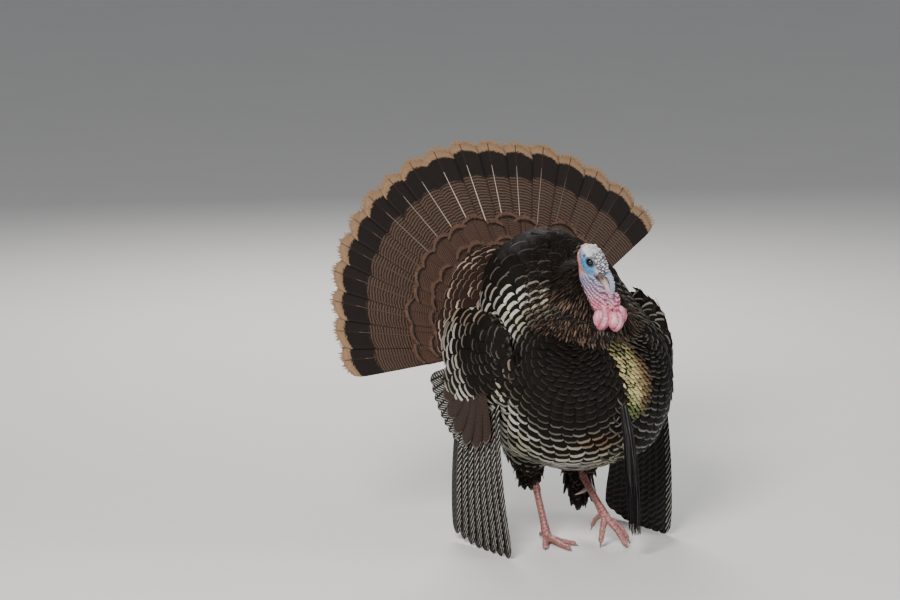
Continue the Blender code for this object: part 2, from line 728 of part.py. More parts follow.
def make_leg(side, sign, trunk):
    leg = LEGS[side]
    across = Vector((1, 0, 0))

    rows = spline([(*p, *s) for p, s in zip(leg["thigh"], leg["thigh_sizes"])], 3)
    end = rows[-1]
    rows.append((end[0], end[1], end[2] - 0.012, 0.010, 0.012))
    thigh = tube("thigh_" + side, [at(*row[:3]) for row in rows],
                 [row[3:] for row in rows], across, "dark_plumage", sides=11)
    cut_by(thigh, trunk)

    hock, ankle = at(*leg["hock"]), at(*leg["ankle"])
    shares = (0.0, 0.12, 0.45, 0.80, 0.93, 1.0)
    swell = (1.35, 1.20, 0.94, 1.0, 1.28, 1.15)
    shank = tube("shank_" + side, [hock.lerp(ankle, share) for share in shares],
                 [(TARSUS_HALF_WIDTH * k, TARSUS_HALF_DEPTH * k) for k in swell],
                 across, "scaled_leg", sides=10, on_floor=True)
    cut_by(shank, thigh, trunk)

    palm = ankle.copy()
    palm.z = max(palm.z, PALM[2] + 0.0005)
    toes = [egg("palm", palm, PALM, "scaled_leg", 8, 6)]
    claws = []
    for name, points in leg["toes"].items():
        rows = spline(points, 2)
        path = [at(*row) for row in rows]
        scale = 0.82 if name == "1" else 1.0
        sizes = []
        for i in range(len(rows)):
            share = i / (len(rows) - 1)
            pad = 1.18 - 0.30 * share
            sizes.append((TOE_HALF_WIDTH * pad * scale, TOE_HALF_DEPTH * pad * scale))
        toes.append(tube("toe", path, sizes, across, "scaled_leg", sides=6, on_floor=True))
        way = (path[-1] - path[-2]).normalized()
        start = path[-1] - way * 0.003
        claw_path = []
        claw_sizes = []
        for i in range(3):
            share = i / 2
            point = start + way * (CLAW_LENGTH * share) - Vector((0, 0, 0.0035 * share ** 2))
            size = (1 - 0.78 * share) * 0.0040 * scale
            point.z = max(point.z, size * 0.6)
            claw_path.append(point)
            claw_sizes.append((size * 0.85, size))
        claws.append(tube("claw_" + side + "_" + name, claw_path, claw_sizes, across, "horn",
                          sides=6, on_floor=True))
    foot = toes[0]
    join_in(foot, *toes[1:])
    foot.name = "foot_" + side
    cut_by(shank, foot)
    for claw in claws:
        cut_by(claw, foot)

    # The spur stands off the back of the shank
    along = (ankle - hock).normalized()
    rearward = (at(0.35 * -sign, -1.0, 0.0) - along * at(0.35 * -sign, -1.0, 0.0).dot(along))
    rearward.normalize()
    root = hock.lerp(ankle, leg["spur_along"])
    spur_path = []
    spur_sizes = []
    for i in range(4):
        share = i / 3
        spur_path.append(root + rearward * (0.002 + (SPUR_LENGTH + TARSUS_HALF_DEPTH) * share)
                         - along * (0.006 * share ** 2))
        size = SPUR_RADIUS * (1 - 0.80 * share)
        spur_sizes.append((size, size))
    spur = tube("spur_" + side, spur_path, spur_sizes, across, "horn", sides=7)
    cut_by(spur, shank)


def centre_over_origin():
    corners = [v.co for piece in bpy.context.scene.objects for v in piece.data.vertices]
    low = Vector(min(c[i] for c in corners) for i in range(3))
    high = Vector(max(c[i] for c in corners) for i in range(3))
    slide = Vector((-(low.x + high.x) / 2, -(low.y + high.y) / 2, 0.0))
    for piece in bpy.context.scene.objects:
        piece.location = slide


def build():
    for old in list(bpy.data.objects):
        bpy.data.objects.remove(old)
    trunk = make_trunk()
    neck = make_upright("neck", NECK_STATIONS, "copper_plumage", 18, 2)
    head, upper, lower, snood = make_head()
    cut_by(neck, trunk, head)
    throat = make_upright("throat", THROAT_STATIONS, "bare_skin", 10, 1)
    cut_by(throat, head, neck, trunk, upper, lower, snood)
    wattles = make_wattles()
    cut_by(wattles, throat, neck, trunk)
    beard = make_upright("beard", BEARD_STATIONS, "beard", 8, 1)
    cut_by(beard, trunk)
    rump = make_tail(trunk)
    for side, sign in (("left", 1), ("right", -1)):
        make_wing(side, sign, trunk, rump)
        make_leg(side, sign, trunk)
    centre_over_origin()


build()
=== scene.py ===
import math

import bmesh
import bpy
import numpy as np
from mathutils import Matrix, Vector, noise
from mathutils.bvhtree import BVHTree
from mathutils.kdtree import KDTree


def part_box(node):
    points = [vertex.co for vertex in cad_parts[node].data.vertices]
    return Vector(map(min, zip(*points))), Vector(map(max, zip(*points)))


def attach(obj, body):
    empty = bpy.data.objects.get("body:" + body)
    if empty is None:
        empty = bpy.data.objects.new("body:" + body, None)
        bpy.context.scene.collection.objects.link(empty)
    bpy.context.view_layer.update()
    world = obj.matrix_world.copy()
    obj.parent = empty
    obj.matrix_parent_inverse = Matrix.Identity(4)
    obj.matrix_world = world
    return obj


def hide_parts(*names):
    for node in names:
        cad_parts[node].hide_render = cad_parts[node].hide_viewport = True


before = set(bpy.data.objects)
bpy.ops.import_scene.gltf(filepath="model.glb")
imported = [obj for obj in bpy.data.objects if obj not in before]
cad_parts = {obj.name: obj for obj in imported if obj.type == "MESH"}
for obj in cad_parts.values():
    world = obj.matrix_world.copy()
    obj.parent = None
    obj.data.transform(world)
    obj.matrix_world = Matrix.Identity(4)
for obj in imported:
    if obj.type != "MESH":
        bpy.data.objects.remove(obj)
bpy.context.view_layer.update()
rng = np.random.default_rng(7)
bothSides = (("left", 1), ("right", -1))

# The bird faces -Y and its own left is +X. Places are given as left, ahead and up,
# counted from the floor point under the root of the tail.
trunkLow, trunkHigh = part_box("trunk")
middleX = (trunkLow[0] + trunkHigh[0]) / 2
rootY = trunkHigh[1] - 0.03


def at(left, ahead, up):
    return Vector((middleX + left, rootY - ahead, up))


def spot(left, ahead, up):
    return np.array(at(left, ahead, up))


def table(*columns):
    # Columns of numbers side by side; a plain number fills its column
    return np.stack(np.broadcast_arrays(*columns), axis=-1)


def between(pair, share):
    return pair[0] + (pair[1] - pair[0]) * share


def addObject(name, data):
    made = bpy.data.objects.new(name, data)
    bpy.context.scene.collection.objects.link(made)
    return made


# viewWidth = what the camera sees across, in metres
cameraSettings = {"azimuth": -33, "elevation": 10, "distance": 7.5, "aside": -0.158, "up": 0.452,
                  "viewWidth": 1.8, "sensor": 36}


def makeCamera(s):
    a, e = math.radians(s["azimuth"]), math.radians(s["elevation"])
    look = Vector((-math.sin(a) * math.cos(e), math.cos(a) * math.cos(e), -math.sin(e)))
    right = Vector((math.cos(a), math.sin(a), 0))
    data = bpy.data.cameras.new("camera")
    data.sensor_width = s["sensor"]
    data.lens = s["sensor"] * s["distance"] / s["viewWidth"]
    camera = addObject("camera", data)
    camera.location = at(0, 0, 0) + right * s["aside"] + right.cross(look) * s["up"] - look * s["distance"]
    camera.rotation_euler = look.to_track_quat("-Z", "Y").to_euler()
    bpy.context.scene.camera = camera


lightSettings = {
    "key": {"place": (-2.6, 2.2, 2.6), "size": 1.4, "watts": 185, "colour": (1.0, 0.965, 0.91)},
    "fill": {"place": (2.4, 2.6, 1.5), "size": 2.6, "watts": 42, "colour": (0.9, 0.95, 1.0)},
    "rim": {"place": (1.2, -2.6, 2.4), "size": 1.8, "watts": 90, "colour": (1.0, 0.98, 0.95)},
    "aim": (0, 0.1, 0.35), "world": {"Color": (0.86, 0.88, 0.92, 1), "Strength": 0.28},
}


def makeLights(s):
    for name in ("key", "fill", "rim"):
        data = bpy.data.lights.new(name, "AREA")
        data.shape = "DISK"
        data.size = s[name]["size"]
        data.energy = s[name]["watts"]
        data.color = s[name]["colour"]
        lamp = addObject(name, data)
        lamp.location = at(*s[name]["place"])
        lamp.rotation_euler = (at(*s["aim"]) - lamp.location).to_track_quat("-Z", "Y").to_euler()
    world = bpy.data.worlds.new("studio")
    world.use_nodes = True
    for key, value in s["world"].items():
        world.node_tree.nodes["Background"].inputs[key].default_value = value
    bpy.context.scene.world = world


makeCamera(cameraSettings)
makeLights(lightSettings)
print("camera and lights")


def newMaterial(name):
    material = bpy.data.materials.new(name)
    material.use_nodes = True
    return material, material.node_tree.nodes["Principled BSDF"]


def feed(node, values):
    # Links outputs to the node's inputs, or sets their constants
    for key, value in values.items():
        if hasattr(value, "is_output"):
            node.id_data.links.new(value, node.inputs[key])
        elif value is not None:
            node.inputs[key].default_value = value


def addNode(kind, values, **settings):
    # A node in the same tree as the first output among the values that feed it
    tree = next(value.id_data for value in values.values() if hasattr(value, "is_output"))
    node = tree.nodes.new("ShaderNode" + kind)
    for key, value in settings.items():
        setattr(node, key, value)
    feed(node, values)
    return node.outputs


def maths(operation, *values, clamp=False):
    return addNode("Math", dict(enumerate(values)), operation=operation, use_clamp=clamp)[0]


def times(a, b, c=None, clamp=False):
    # a * b, or a * b + c
    return maths("MULTIPLY" if c is None else "MULTIPLY_ADD", a, b, c, clamp=clamp)


def plus(a, b):
    return maths("ADD", a, b)


def less(a, b):
    return maths("SUBTRACT", a, b)


def ramp(value, low, high):
    # 0 below low, 1 above high, smooth between; low may be the greater
    return addNode("MapRange", {0: value, 1: low, 2: high}, interpolation_type="SMOOTHSTEP")[0]


def blend(amount, first, second):
    first, second = [(*x, 1) if isinstance(x, tuple) else x for x in (first, second)]
    return addNode("Mix", {0: amount, 6: first, 7: second}, data_type="RGBA")[2]


def noisy(vector, scale, detail=3.0, rough=0.55):
    values = {"Vector": vector, "Scale": scale, "Detail": detail, "Roughness": rough}
    return addNode("TexNoise", values)["Fac"]


def cells(vector, scale, feature="F1"):
    return addNode("TexVoronoi", {"Vector": vector, "Scale": scale}, feature=feature)["Distance"]


def split(vector):
    return addNode("SeparateXYZ", {0: vector})


def join(x, y, z):
    return addNode("CombineXYZ", {0: x, 1: y, 2: z})[0]


def bump(height, strength, distance, after=None):
    values = {"Height": height, "Strength": strength, "Distance": distance, "Normal": after}
    return addNode("Bump", values)[0]


def places(shader):
    return shader.id_data.nodes.new("ShaderNodeTexCoord").outputs["Object"]


def named(shader, name):
    node = shader.id_data.nodes.new("ShaderNodeAttribute")
    node.attribute_name = name
    return node.outputs


def newGroup(name, inputs, outputs):
    # inputs = each number's start value, or None for a vector; the outputs are numbers
    group = bpy.data.node_groups.new(name, "ShaderNodeTree")
    for key, start in inputs.items():
        kind = "NodeSocketVector" if start is None else "NodeSocketFloat"
        socket = group.interface.new_socket(key, in_out="INPUT", socket_type=kind)
        if start is not None:
            socket.default_value = start
    for key in outputs:
        group.interface.new_socket(key, in_out="OUTPUT", socket_type="NodeSocketFloat")
    return group, group.nodes.new("NodeGroupInput").outputs, group.nodes.new("NodeGroupOutput")


def useGroup(group, **values):
    return addNode("Group", values, node_tree=group)


def makeBarbGroup():
    # Fine barbs slanting off the shaft. lie = across and along the vane in metres, and left to the tip
    group, given, out = newGroup("featherBarbs", {"lie": None, "spacing": 0.001, "slant": 0.9, "seed": 0.0},
                                 ("height", "streak", "shaft"))
    x, y, _ = split(given["lie"])
    aside = maths("ABSOLUTE", x)
    line = maths("DIVIDE", less(y, times(aside, given["slant"])), given["spacing"])
    streak = noisy(join(times(x, 45.0), times(line, 0.55), given["seed"]), 1.0, 2.0, 0.6)
    feed(out, {"height": times(maths("SINE", times(line, math.tau)), 0.35, streak), "streak": streak,
               "shaft": ramp(aside, 0.0014, 0.0005)})
    return group


def makeTipGroup():
    # Bands that follow the feather's tip: a dark lip, then a sheen band that carries painted glints, then the
    # dark base
    group, given, out = newGroup("tipBands", {"lie": None, "seed": 0.0, "lip": 0.003, "sheen": 0.008,
                                              "soft": 0.002}, ("lip", "sheen"))
    x, y, z = split(given["lie"])
    wander = noisy(join(times(x, 120.0), times(y, 40.0), given["seed"]), 1.0, 2.0)
    left = times(less(wander, 0.5), 0.0035, z)
    lip = ramp(left, plus(given["lip"], 0.0004), given["lip"])
    end = plus(given["lip"], given["sheen"])
    sheen = ramp(left, plus(end, given["soft"]), less(end, given["soft"]))
    feed(out, {"lip": lip, "sheen": times(sheen, less(1.0, lip))})
    return group


def makeBarGroup():
    # Cross bars of a big quill, wavy and slanted off the shaft
    group, given, out = newGroup("quillBars", {"lie": None, "seed": 0.0, "period": 0.006, "share": 0.5,
                                               "slant": 0.2, "wave": 0.5}, ("bar", "fleck"))
    x, y, _ = split(given["lie"])
    wander = less(noisy(join(times(x, 90.0), times(y, 55.0), given["seed"]), 1.0), 0.5)
    line = maths("DIVIDE", less(y, times(maths("ABSOLUTE", x), given["slant"])), given["period"])
    line = plus(times(wander, given["wave"], line), given["seed"])
    saw = maths("ABSOLUTE", times(maths("FRACT", line), 2.0, -1.0))
    bar = ramp(saw, less(given["share"], 0.16), plus(given["share"], 0.16))
    fleck = noisy(join(times(x, 260.0), times(y, 520.0), given["seed"]), 1.0, 2.0)
    feed(out, {"bar": bar, "fleck": fleck})
    return group


barbGroup, tipGroup, barGroup = makeBarbGroup(), makeTipGroup(), makeBarGroup()


def contourMaterial(name, s):
    # Small feathers. plume = how strong the painted glint on the sheen band is, how coppery, a number of its
    # own, how light
    material, shader = newMaterial(name)
    lie, plume = named(shader, "lie")["Vector"], named(shader, "plume")
    glintStrength, warm, own = split(plume["Color"])
    seed = times(own, 91.0)
    vary = maths("FRACT", times(own, 17.0))
    glintStrength = times(glintStrength, times(vary, 0.75, 0.45), clamp=True)
    barbs = useGroup(barbGroup, lie=lie, spacing=s["barb"], slant=s["slant"], seed=seed)
    width = times(glintStrength, s["sheen"] * 0.72, s["sheen"] * 0.28)
    bands = useGroup(tipGroup, lie=lie, seed=seed, lip=s["lip"], sheen=width, soft=s["soft"])
    base = blend(times(plume["Alpha"], 0.85), blend(barbs["streak"], s["dark"], s["mid"]), s["light"])
    # The sheen band is the feather's bronze edge with painted glints on it: near-white silver, gold-green and
    # copper by place
    hue = ramp(noisy(places(shader), 16.0, 2.0), 0.42, 0.6)
    glintColour = blend(warm, blend(hue, s["glintSilver"], s["green"]), s["copper"])
    glintColour = blend(times(barbs["streak"], 0.55), glintColour, s["dark"])
    shine = times(bands["sheen"], glintStrength)
    colour = blend(times(bands["lip"], s["lipAmount"]), blend(shine, base, glintColour), s["lipColour"])
    feed(shader, {"Base Color": colour, "Metallic": times(shine, s["metallic"]), "Specular IOR Level": 0.07,
                  "Roughness": times(barbs["streak"], 0.12, times(shine, -0.22, s["rough"])),
                  "Normal": bump(barbs["height"], 0.45, 0.0005)})
    return material


def quillMaterial(name, s):
    # Big stiff feathers with bars; bands near the tip are measured from the tip
    material, shader = newMaterial(name)
    lie = named(shader, "lie")["Vector"]
    x, y, z = split(lie)
    seed = times(split(named(shader, "plume")["Color"])[2], 37.0)
    barbs = useGroup(barbGroup, lie=lie, spacing=s["barb"], slant=s["slant"], seed=seed)
    ruled = join(plus(x, s["oneWay"]), y, z) if s["oneWay"] else lie
    bars = useGroup(barGroup, lie=ruled, seed=seed, period=s["period"], share=s["share"],
                    slant=s["barSlant"], wave=s["wave"])
    barred = bars["bar"]
    if s["gutter"]:  # plain dark beside the shaft and along the vane's margins
        aside = maths("ABSOLUTE", x)
        barred = maths("MAXIMUM", barred, ramp(aside, s["gutter"] + 0.0018, s["gutter"]))
        barred = maths("MAXIMUM", barred, ramp(aside, s["margin"], s["margin"] + 0.0016))
    if s["dull"]:  # the vane behind the shaft is darker
        barred = maths("MAXIMUM", barred, times(ramp(x, -0.0022, -0.0004), s["dull"]))
    colour = blend(barred, blend(barbs["streak"], s["ground"], s["groundLight"]),
                   blend(bars["fleck"], s["bar"], s["barLight"]))
    wander = times(less(barbs["streak"], 0.5), s["ragged"], z)
    if s["band"]:
        edge = s["tip"] + s["band"]
        colour = blend(ramp(wander, edge + 0.003, edge - 0.003), colour,
                       blend(bars["fleck"], s["bandColour"], s["bandLight"]))
    if s["tip"]:
        colour = blend(ramp(wander, s["tip"] + 0.0015, s["tip"] - 0.0015), colour,
                       blend(barbs["streak"], s["tipColour"], s["tipLight"]))
    feed(shader, {"Base Color": blend(times(barbs["shaft"], s["shaftAmount"]), colour, s["shaft"]),
                  "Roughness": times(bars["fleck"], 0.15, s["rough"]), "Specular IOR Level": 0.14,
                  "Normal": bump(barbs["height"], s["relief"], 0.0006)})
    return material


bodyPlumes = {
    "barb": 0.0011, "slant": 0.9, "lip": 0.0012, "sheen": 0.0082, "soft": 0.001, "lipAmount": 1.0,
    "dark": (0.0022, 0.0019, 0.002), "mid": (0.0085, 0.0066, 0.0058), "light": (0.07, 0.045, 0.032),
    # glintSilver is the near-white of the painted glints on the sheen bands
    "glintSilver": (0.84, 0.83, 0.77), "green": (0.66, 0.66, 0.5), "copper": (0.6, 0.31, 0.18),
    "lipColour": (0.003, 0.0028, 0.003), "metallic": 0.4, "rough": 0.5,
}
neckPlumes = dict(bodyPlumes, barb=0.0008, lip=0.0005, sheen=0.017, soft=0.004, lipAmount=0.5,
                  mid=(0.011, 0.0075, 0.006), glintSilver=(0.56, 0.5, 0.41), green=(0.46, 0.42, 0.32),
                  copper=(0.26, 0.16, 0.115), metallic=0.25)
# goldGlintPlumes: the sheen bands of the gold-green patch, a painted glint
goldGlintPlumes = dict(bodyPlumes, lip=0.0008, sheen=0.0098, soft=0.0028, lipAmount=0.8,
                  glintSilver=(1.0, 0.87, 0.4), green=(0.64, 0.78, 0.3), copper=(0.46, 0.29, 0.16))
rumpPlumes = dict(bodyPlumes, sheen=0.0038, dark=(0.01, 0.006, 0.005), mid=(0.034, 0.018, 0.013),
                  copper=(0.58, 0.36, 0.28), metallic=0.3)
fanQuills = {
    "barb": 0.0012, "slant": 0.75, "oneWay": 0.0, "period": 0.0062, "share": 0.5, "barSlant": 0.1,
    "wave": 1.0, "gutter": 0.0, "margin": 0.0, "dull": 0.0, "relief": 0.5,
    "ground": (0.064, 0.037, 0.026), "groundLight": (0.13, 0.084, 0.062),
    "bar": (0.014, 0.009, 0.0075), "barLight": (0.036, 0.022, 0.017),
    "tip": 0.019, "band": 0.054, "ragged": 0.016, "bandColour": (0.007, 0.0055, 0.005),
    "bandLight": (0.022, 0.016, 0.013), "tipColour": (0.17, 0.096, 0.053), "tipLight": (0.36, 0.232, 0.138),
    "shaft": (0.03, 0.02, 0.015), "shaftAmount": 0.9, "rough": 0.5,
}
covertQuills = dict(fanQuills, period=0.0036, wave=1.6, ground=(0.066, 0.036, 0.026),
                    groundLight=(0.12, 0.068, 0.05), bar=(0.02, 0.012, 0.009),
                    barLight=(0.044, 0.026, 0.019), tip=0.0065, band=0.006,
                    tipColour=(0.064, 0.034, 0.024), tipLight=(0.17, 0.098, 0.072),
                    bandColour=(0.007, 0.0045, 0.0038), bandLight=(0.018, 0.011, 0.009), ragged=0.01)
frayQuills = dict(fanQuills, shaftAmount=0.0, tip=0.05, band=0.0)
covertFrays = dict(covertQuills, shaftAmount=0.0, tip=0.05, band=0.0)
wingQuills = dict(fanQuills, oneWay=0.05, period=0.0124, share=0.2, barSlant=1.05, wave=0.95, dull=0.93,
                  relief=0.08, ground=(0.38, 0.375, 0.355), groundLight=(0.5, 0.49, 0.465),
                  bar=(0.004, 0.0038, 0.004), barLight=(0.014, 0.012, 0.011), tip=0.0, band=0.0,
                  shaft=(0.006, 0.005, 0.005), rough=0.48)
secondQuills = dict(wingQuills, period=0.0085, share=0.3, ground=(0.46, 0.455, 0.43), dull=0.0,
                    gutter=0.0014, margin=0.012)
tertialQuills = dict(fanQuills, period=0.006, share=0.3, wave=1.6, ground=(0.03, 0.016, 0.011),
                     groundLight=(0.082, 0.044, 0.029), bar=(0.012, 0.007, 0.006),
                     barLight=(0.03, 0.018, 0.013), tip=0.003, band=0.0, tipColour=(0.16, 0.11, 0.08),
                     tipLight=(0.32, 0.24, 0.18), rough=0.4)
underQuills = dict(fanQuills, period=0.005, share=0.52, tip=0.012, band=0.01,
                   tipColour=(0.33, 0.2, 0.12), tipLight=(0.48, 0.32, 0.21))

plumeMaterials = {}
for name, looks in (("bodyPlumes", bodyPlumes), ("neckPlumes", neckPlumes), ("goldGlintPlumes", goldGlintPlumes),
                    ("rumpPlumes", rumpPlumes)):
    plumeMaterials[name] = contourMaterial(name, looks)
for name, looks in (("fanQuills", fanQuills), ("frayQuills", frayQuills), ("covertFrays", covertFrays),
                    ("covertQuills", covertQuills), ("wingQuills", wingQuills),
                    ("secondQuills", secondQuills), ("tertialQuills", tertialQuills),
                    ("underQuills", underQuills)):
    plumeMaterials[name] = quillMaterial(name, looks)
print("plumage materials")


def paint(mesh, key, values):
    # Numbers for every point: four make a colour, three a vector
    kind, field = ("FLOAT_COLOR", "color") if values.shape[-1] == 4 else ("FLOAT_VECTOR", "vector")
    layer = mesh.attributes.new(key, kind, "POINT")
    layer.data.foreach_set(field, np.asarray(values, dtype=np.float32).ravel())


def buildMesh(name, verts, faces, material, uv, point, slotName):
    # verts (n, 3); faces (m, 3 or 4); uv per vertex or None; point = {name: (n, 3 or 4)}
    mesh = bpy.data.meshes.new(name)
    verts = np.asarray(verts, dtype=np.float32).reshape(-1, 3)
    faces = np.asarray(faces, dtype=np.int32)
    count, corners = faces.shape
    mesh.vertices.add(len(verts))
    mesh.vertices.foreach_set("co", verts.ravel())
    mesh.loops.add(count * corners)
    mesh.loops.foreach_set("vertex_index", faces.ravel())
    mesh.polygons.add(count)
    mesh.polygons.foreach_set("loop_start", np.arange(0, count * corners, corners, dtype=np.int32))
    mesh.polygons.foreach_set("loop_total", np.full(count, corners, dtype=np.int32))
    mesh.update(calc_edges=True)
    if uv is not None:
        uv = np.asarray(uv, dtype=np.float32)[faces.ravel()]
        mesh.uv_layers.new(name="OFBake").data.foreach_set("uv", uv.ravel())
    for key, values in point.items():
        paint(mesh, key, values)
    mesh.polygons.foreach_set("use_smooth", np.ones(count, dtype=bool))
    mesh.materials.append(material)
    mesh.validate()
    piece = addObject(name, mesh)
    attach(piece, "root")
    return piece


def unit(v):
    return v / np.maximum(np.linalg.norm(v, axis=-1, keepdims=True), 1e-9)


def treeOf(mesh):
    verts, faces = [v.co.copy() for v in mesh.vertices], [tuple(p.vertices) for p in mesh.polygons]
    return BVHTree.FromPolygons(verts, faces)


def nodeTree(name):
    return treeOf(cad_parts[name].data)


def walkSpines(tree, roots, ways, lengths, steps):
    # Lays each feather's middle line along the body. Gives points, tangents and normals
    spine, along, up = np.zeros((3, len(roots), steps, 3))
    for i, (point, way) in enumerate(zip(roots, ways)):
        point, way, held = Vector(point), Vector(way), None
        for k in range(steps):
            near, normal, _, _ = tree.find_nearest(point)
            held = ((held or normal) * 0.35 + normal * 0.65).normalized()
            way = (way - held * way.dot(held)).normalized()
            spine[i, k], along[i, k], up[i, k] = near, way, held
            point = near + way * (lengths[i] / (steps - 1))
    return spine, along, up


vaneShapes = {
    # rows along, columns across, how round the tip is, how square its corners, width at root and tip,
    # and how far the edges drop
    "contour": {"rows": 6, "columns": 6, "round": 0.3, "corner": 4, "rootWidth": 0.5, "tipWidth": 0.94,
                "cup": 0.11},
    "small": {"rows": 4, "columns": 2, "round": 0.9, "rootWidth": 0.5, "tipWidth": 0.55, "cup": 0.2},
}


def vaneGrid(spine, along, up, halves, lengths, lift, shape, thick=0.0, swell=None):
    # spine (n, rows, 3). lift (n, rows) raises the vane off its line. Returns verts, lie, uv cell, faces
    count, rows = spine.shape[:2]
    across = shape["columns"] + 1
    u = np.linspace(-1, 1, across)
    v = np.linspace(0, 1, rows)
    side = unit(np.cross(up, along))
    if swell is None:
        rise = np.clip(v / 0.55, 0, 1)
        swell = shape["rootWidth"] + (1 - shape["rootWidth"]) * np.sin(rise * math.pi / 2)
        swell *= 1 - (1 - shape["tipWidth"]) * np.clip((v - 0.6) / 0.4, 0, 1) ** 2
    wide = halves[:, None, None]
    reach = wide * swell[None, :, None] * u
    sag = shape["round"] * wide * np.abs(u) ** shape.get("corner", 2) * (v ** 1.5)[None, :, None]
    height = lift[:, :, None] - shape["cup"] * wide * u ** 2 * swell[None, :, None]
    verts = (spine[:, :, None, :] + side[:, :, None, :] * reach[..., None]
             - along[:, :, None, :] * sag[..., None] + up[:, :, None, :] * height[..., None])
    y = lengths[:, None, None] * v[None, :, None]
    lie = table(reach, y, lengths[:, None, None] - y).reshape(-1, 3)
    cell = np.stack(np.broadcast_arrays(u / 2 + 0.5, v[None, :, None], reach)[:2], axis=-1).reshape(-1, 2)
    grid = np.arange(count * rows * across).reshape(count, rows, across)
    faces = table(grid[:, :-1, :-1], grid[:, :-1, 1:], grid[:, 1:, 1:], grid[:, 1:, :-1]).reshape(-1, 4)
    if thick:
        start = grid.size
        edges = ((grid[:, 0, :-1], grid[:, 0, 1:]), (grid[:, -1, 1:], grid[:, -1, :-1]),
                 (grid[:, 1:, 0], grid[:, :-1, 0]), (grid[:, :-1, -1], grid[:, 1:, -1]))
        rim = [table(b, a, a + start, b + start).reshape(-1, 4) for a, b in edges]
        faces = np.concatenate([faces, faces[:, ::-1] + start, *rim])
        verts = np.stack([verts, verts - up[:, :, None, :] * thick])
        lie, cell = np.tile(lie, (2, 1)), np.tile(cell, (2, 1))
    return verts.reshape(-1, 3), lie, cell, faces


def straightLines(bases, ways, ups, lengths, rows, curl=0.0):
    # Short straight or evenly curled middle lines
    v = np.linspace(0, 1, rows)[None, :, None]
    reach = lengths[:, None, None]
    ways, ups = ways[:, None, :], ups[:, None, :]
    spine = bases[:, None, :] + ways * reach * v + ups * reach * curl * v ** 2
    return spine, unit(ways + ups * 2 * curl * v), unit(ups - ways * 2 * curl * v), (reach * v)[..., 0]


def perVertex(values, copies, layers=1):
    return np.concatenate([np.repeat(np.asarray(values), copies, axis=0)] * layers)


def gridCells(count, cell, copies, layers=1):
    # A cell of the map for each feather
    side = math.ceil(math.sqrt(count))
    index = perVertex(np.arange(count), copies, layers)
    return (table(index % side, index // side) + 0.06 + cell * 0.88) / side


def patchCells(roots, cell, copies, size=0.003):
    # A small patch for each tuft at its root's place on the skin's unwrap
    return perVertex(skinPlaces(roots), copies) + (cell - 0.5) * size


def growCoat(name, tree, feathers, plume, s, kind, slotName):
    # A coat of small feathers that lie along the tree's surface
    shape = vaneShapes[s["shape"]]
    rows = shape["rows"] + 1
    spine, along, up = walkSpines(tree, *feathers[:3], rows)
    # A feather that would fold over a sharp rim is left out
    flat = (up[:, :-1] * up[:, 1:]).sum(axis=-1).min(axis=1) > 0.7
    flat &= (up[:, 0] * up[:, -1]).sum(axis=-1) > 0.25
    spine, along, up = spine[flat], along[flat], up[flat]
    roots, _, lengths, halves = [x[flat] for x in feathers]
    count = len(roots)
    own = rng.random(count)
    low, high = s["heights"]
    lift = low + (high * (0.82 + 0.36 * own[:, None]) - low) * np.linspace(0, 1, rows) ** 0.8
    twist = (rng.random(count) - 0.5) * 2 * s.get("splay", 0.1)
    along = unit(along + unit(np.cross(up, along)) * twist[:, None, None])
    verts, lie, cell, faces = vaneGrid(spine, along, up, halves, lengths, lift, shape)
    copies = rows * (shape["columns"] + 1)
    plume = plume[flat]
    plume[:, 2] = own
    uv = patchCells(roots, cell, copies) if s["shape"] == "small" else gridCells(count, cell, copies)
    buildMesh(name, verts, faces, plumeMaterials[kind], uv, {"lie": lie, "plume": perVertex(plume, copies)},
              slotName)
    print(name, count, "feathers", len(faces) * 2, "triangles")


skinSettings = {"bodyVoxel": 0.0062, "coatDepth": 0.0055,
                "corners": {"body": (0.0, 0.0, 0.25, 0.42), "legs": (0.0, 0.42, 0.25, 0.58),
                            "head": (0.25, 0.0, 0.75, 1.0)}}


def fused(name, sources, voxel, rounds):
    # One closed, even mesh from several solids
    bm = bmesh.new()
    for mesh in sources:
        bm.from_mesh(mesh)
    mesh = bpy.data.meshes.new(name)
    bm.to_mesh(mesh)
    bm.free()
    piece = addObject(name, mesh)
    modifier = piece.modifiers.new("voxels", "REMESH")
    modifier.mode = "VOXEL"
    modifier.voxel_size = voxel
    soften = piece.modifiers.new("soften", "SMOOTH")
    soften.factor = 0.5
    soften.iterations = rounds
    graph = bpy.context.evaluated_depsgraph_get()
    made = bpy.data.meshes.new_from_object(piece.evaluated_get(graph))
    piece.modifiers.clear()
    piece.data = made
    bpy.data.meshes.remove(mesh)
    return piece


def readAll(items, field, width, kind=np.float32):
    # One field of all the vertices, edges or loops of a mesh
    values = np.empty(len(items) * width, dtype=kind)
    items.foreach_get(field, values)
    return values.reshape(-1, width)


def points(piece):
    return readAll(piece.data.vertices, "co", 3).astype(float)


def normals(piece):
    return readAll(piece.data.vertices, "normal", 3).astype(float)


def movePoints(piece, co):
    piece.data.vertices.foreach_set("co", np.asarray(co, dtype=np.float32).ravel())
    piece.data.update()


def relax(piece, rounds, amount=0.5):
    co = points(piece)
    a, b = readAll(piece.data.edges, "vertices", 2, np.int32).T
    weight = np.bincount(np.concatenate([a, b]), minlength=len(co))[:, None]
    for _ in range(rounds):
        total = np.zeros_like(co)
        np.add.at(total, a, co[b])
        np.add.at(total, b, co[a])
        co += (total / np.maximum(weight, 1) - co) * amount
    movePoints(piece, co)


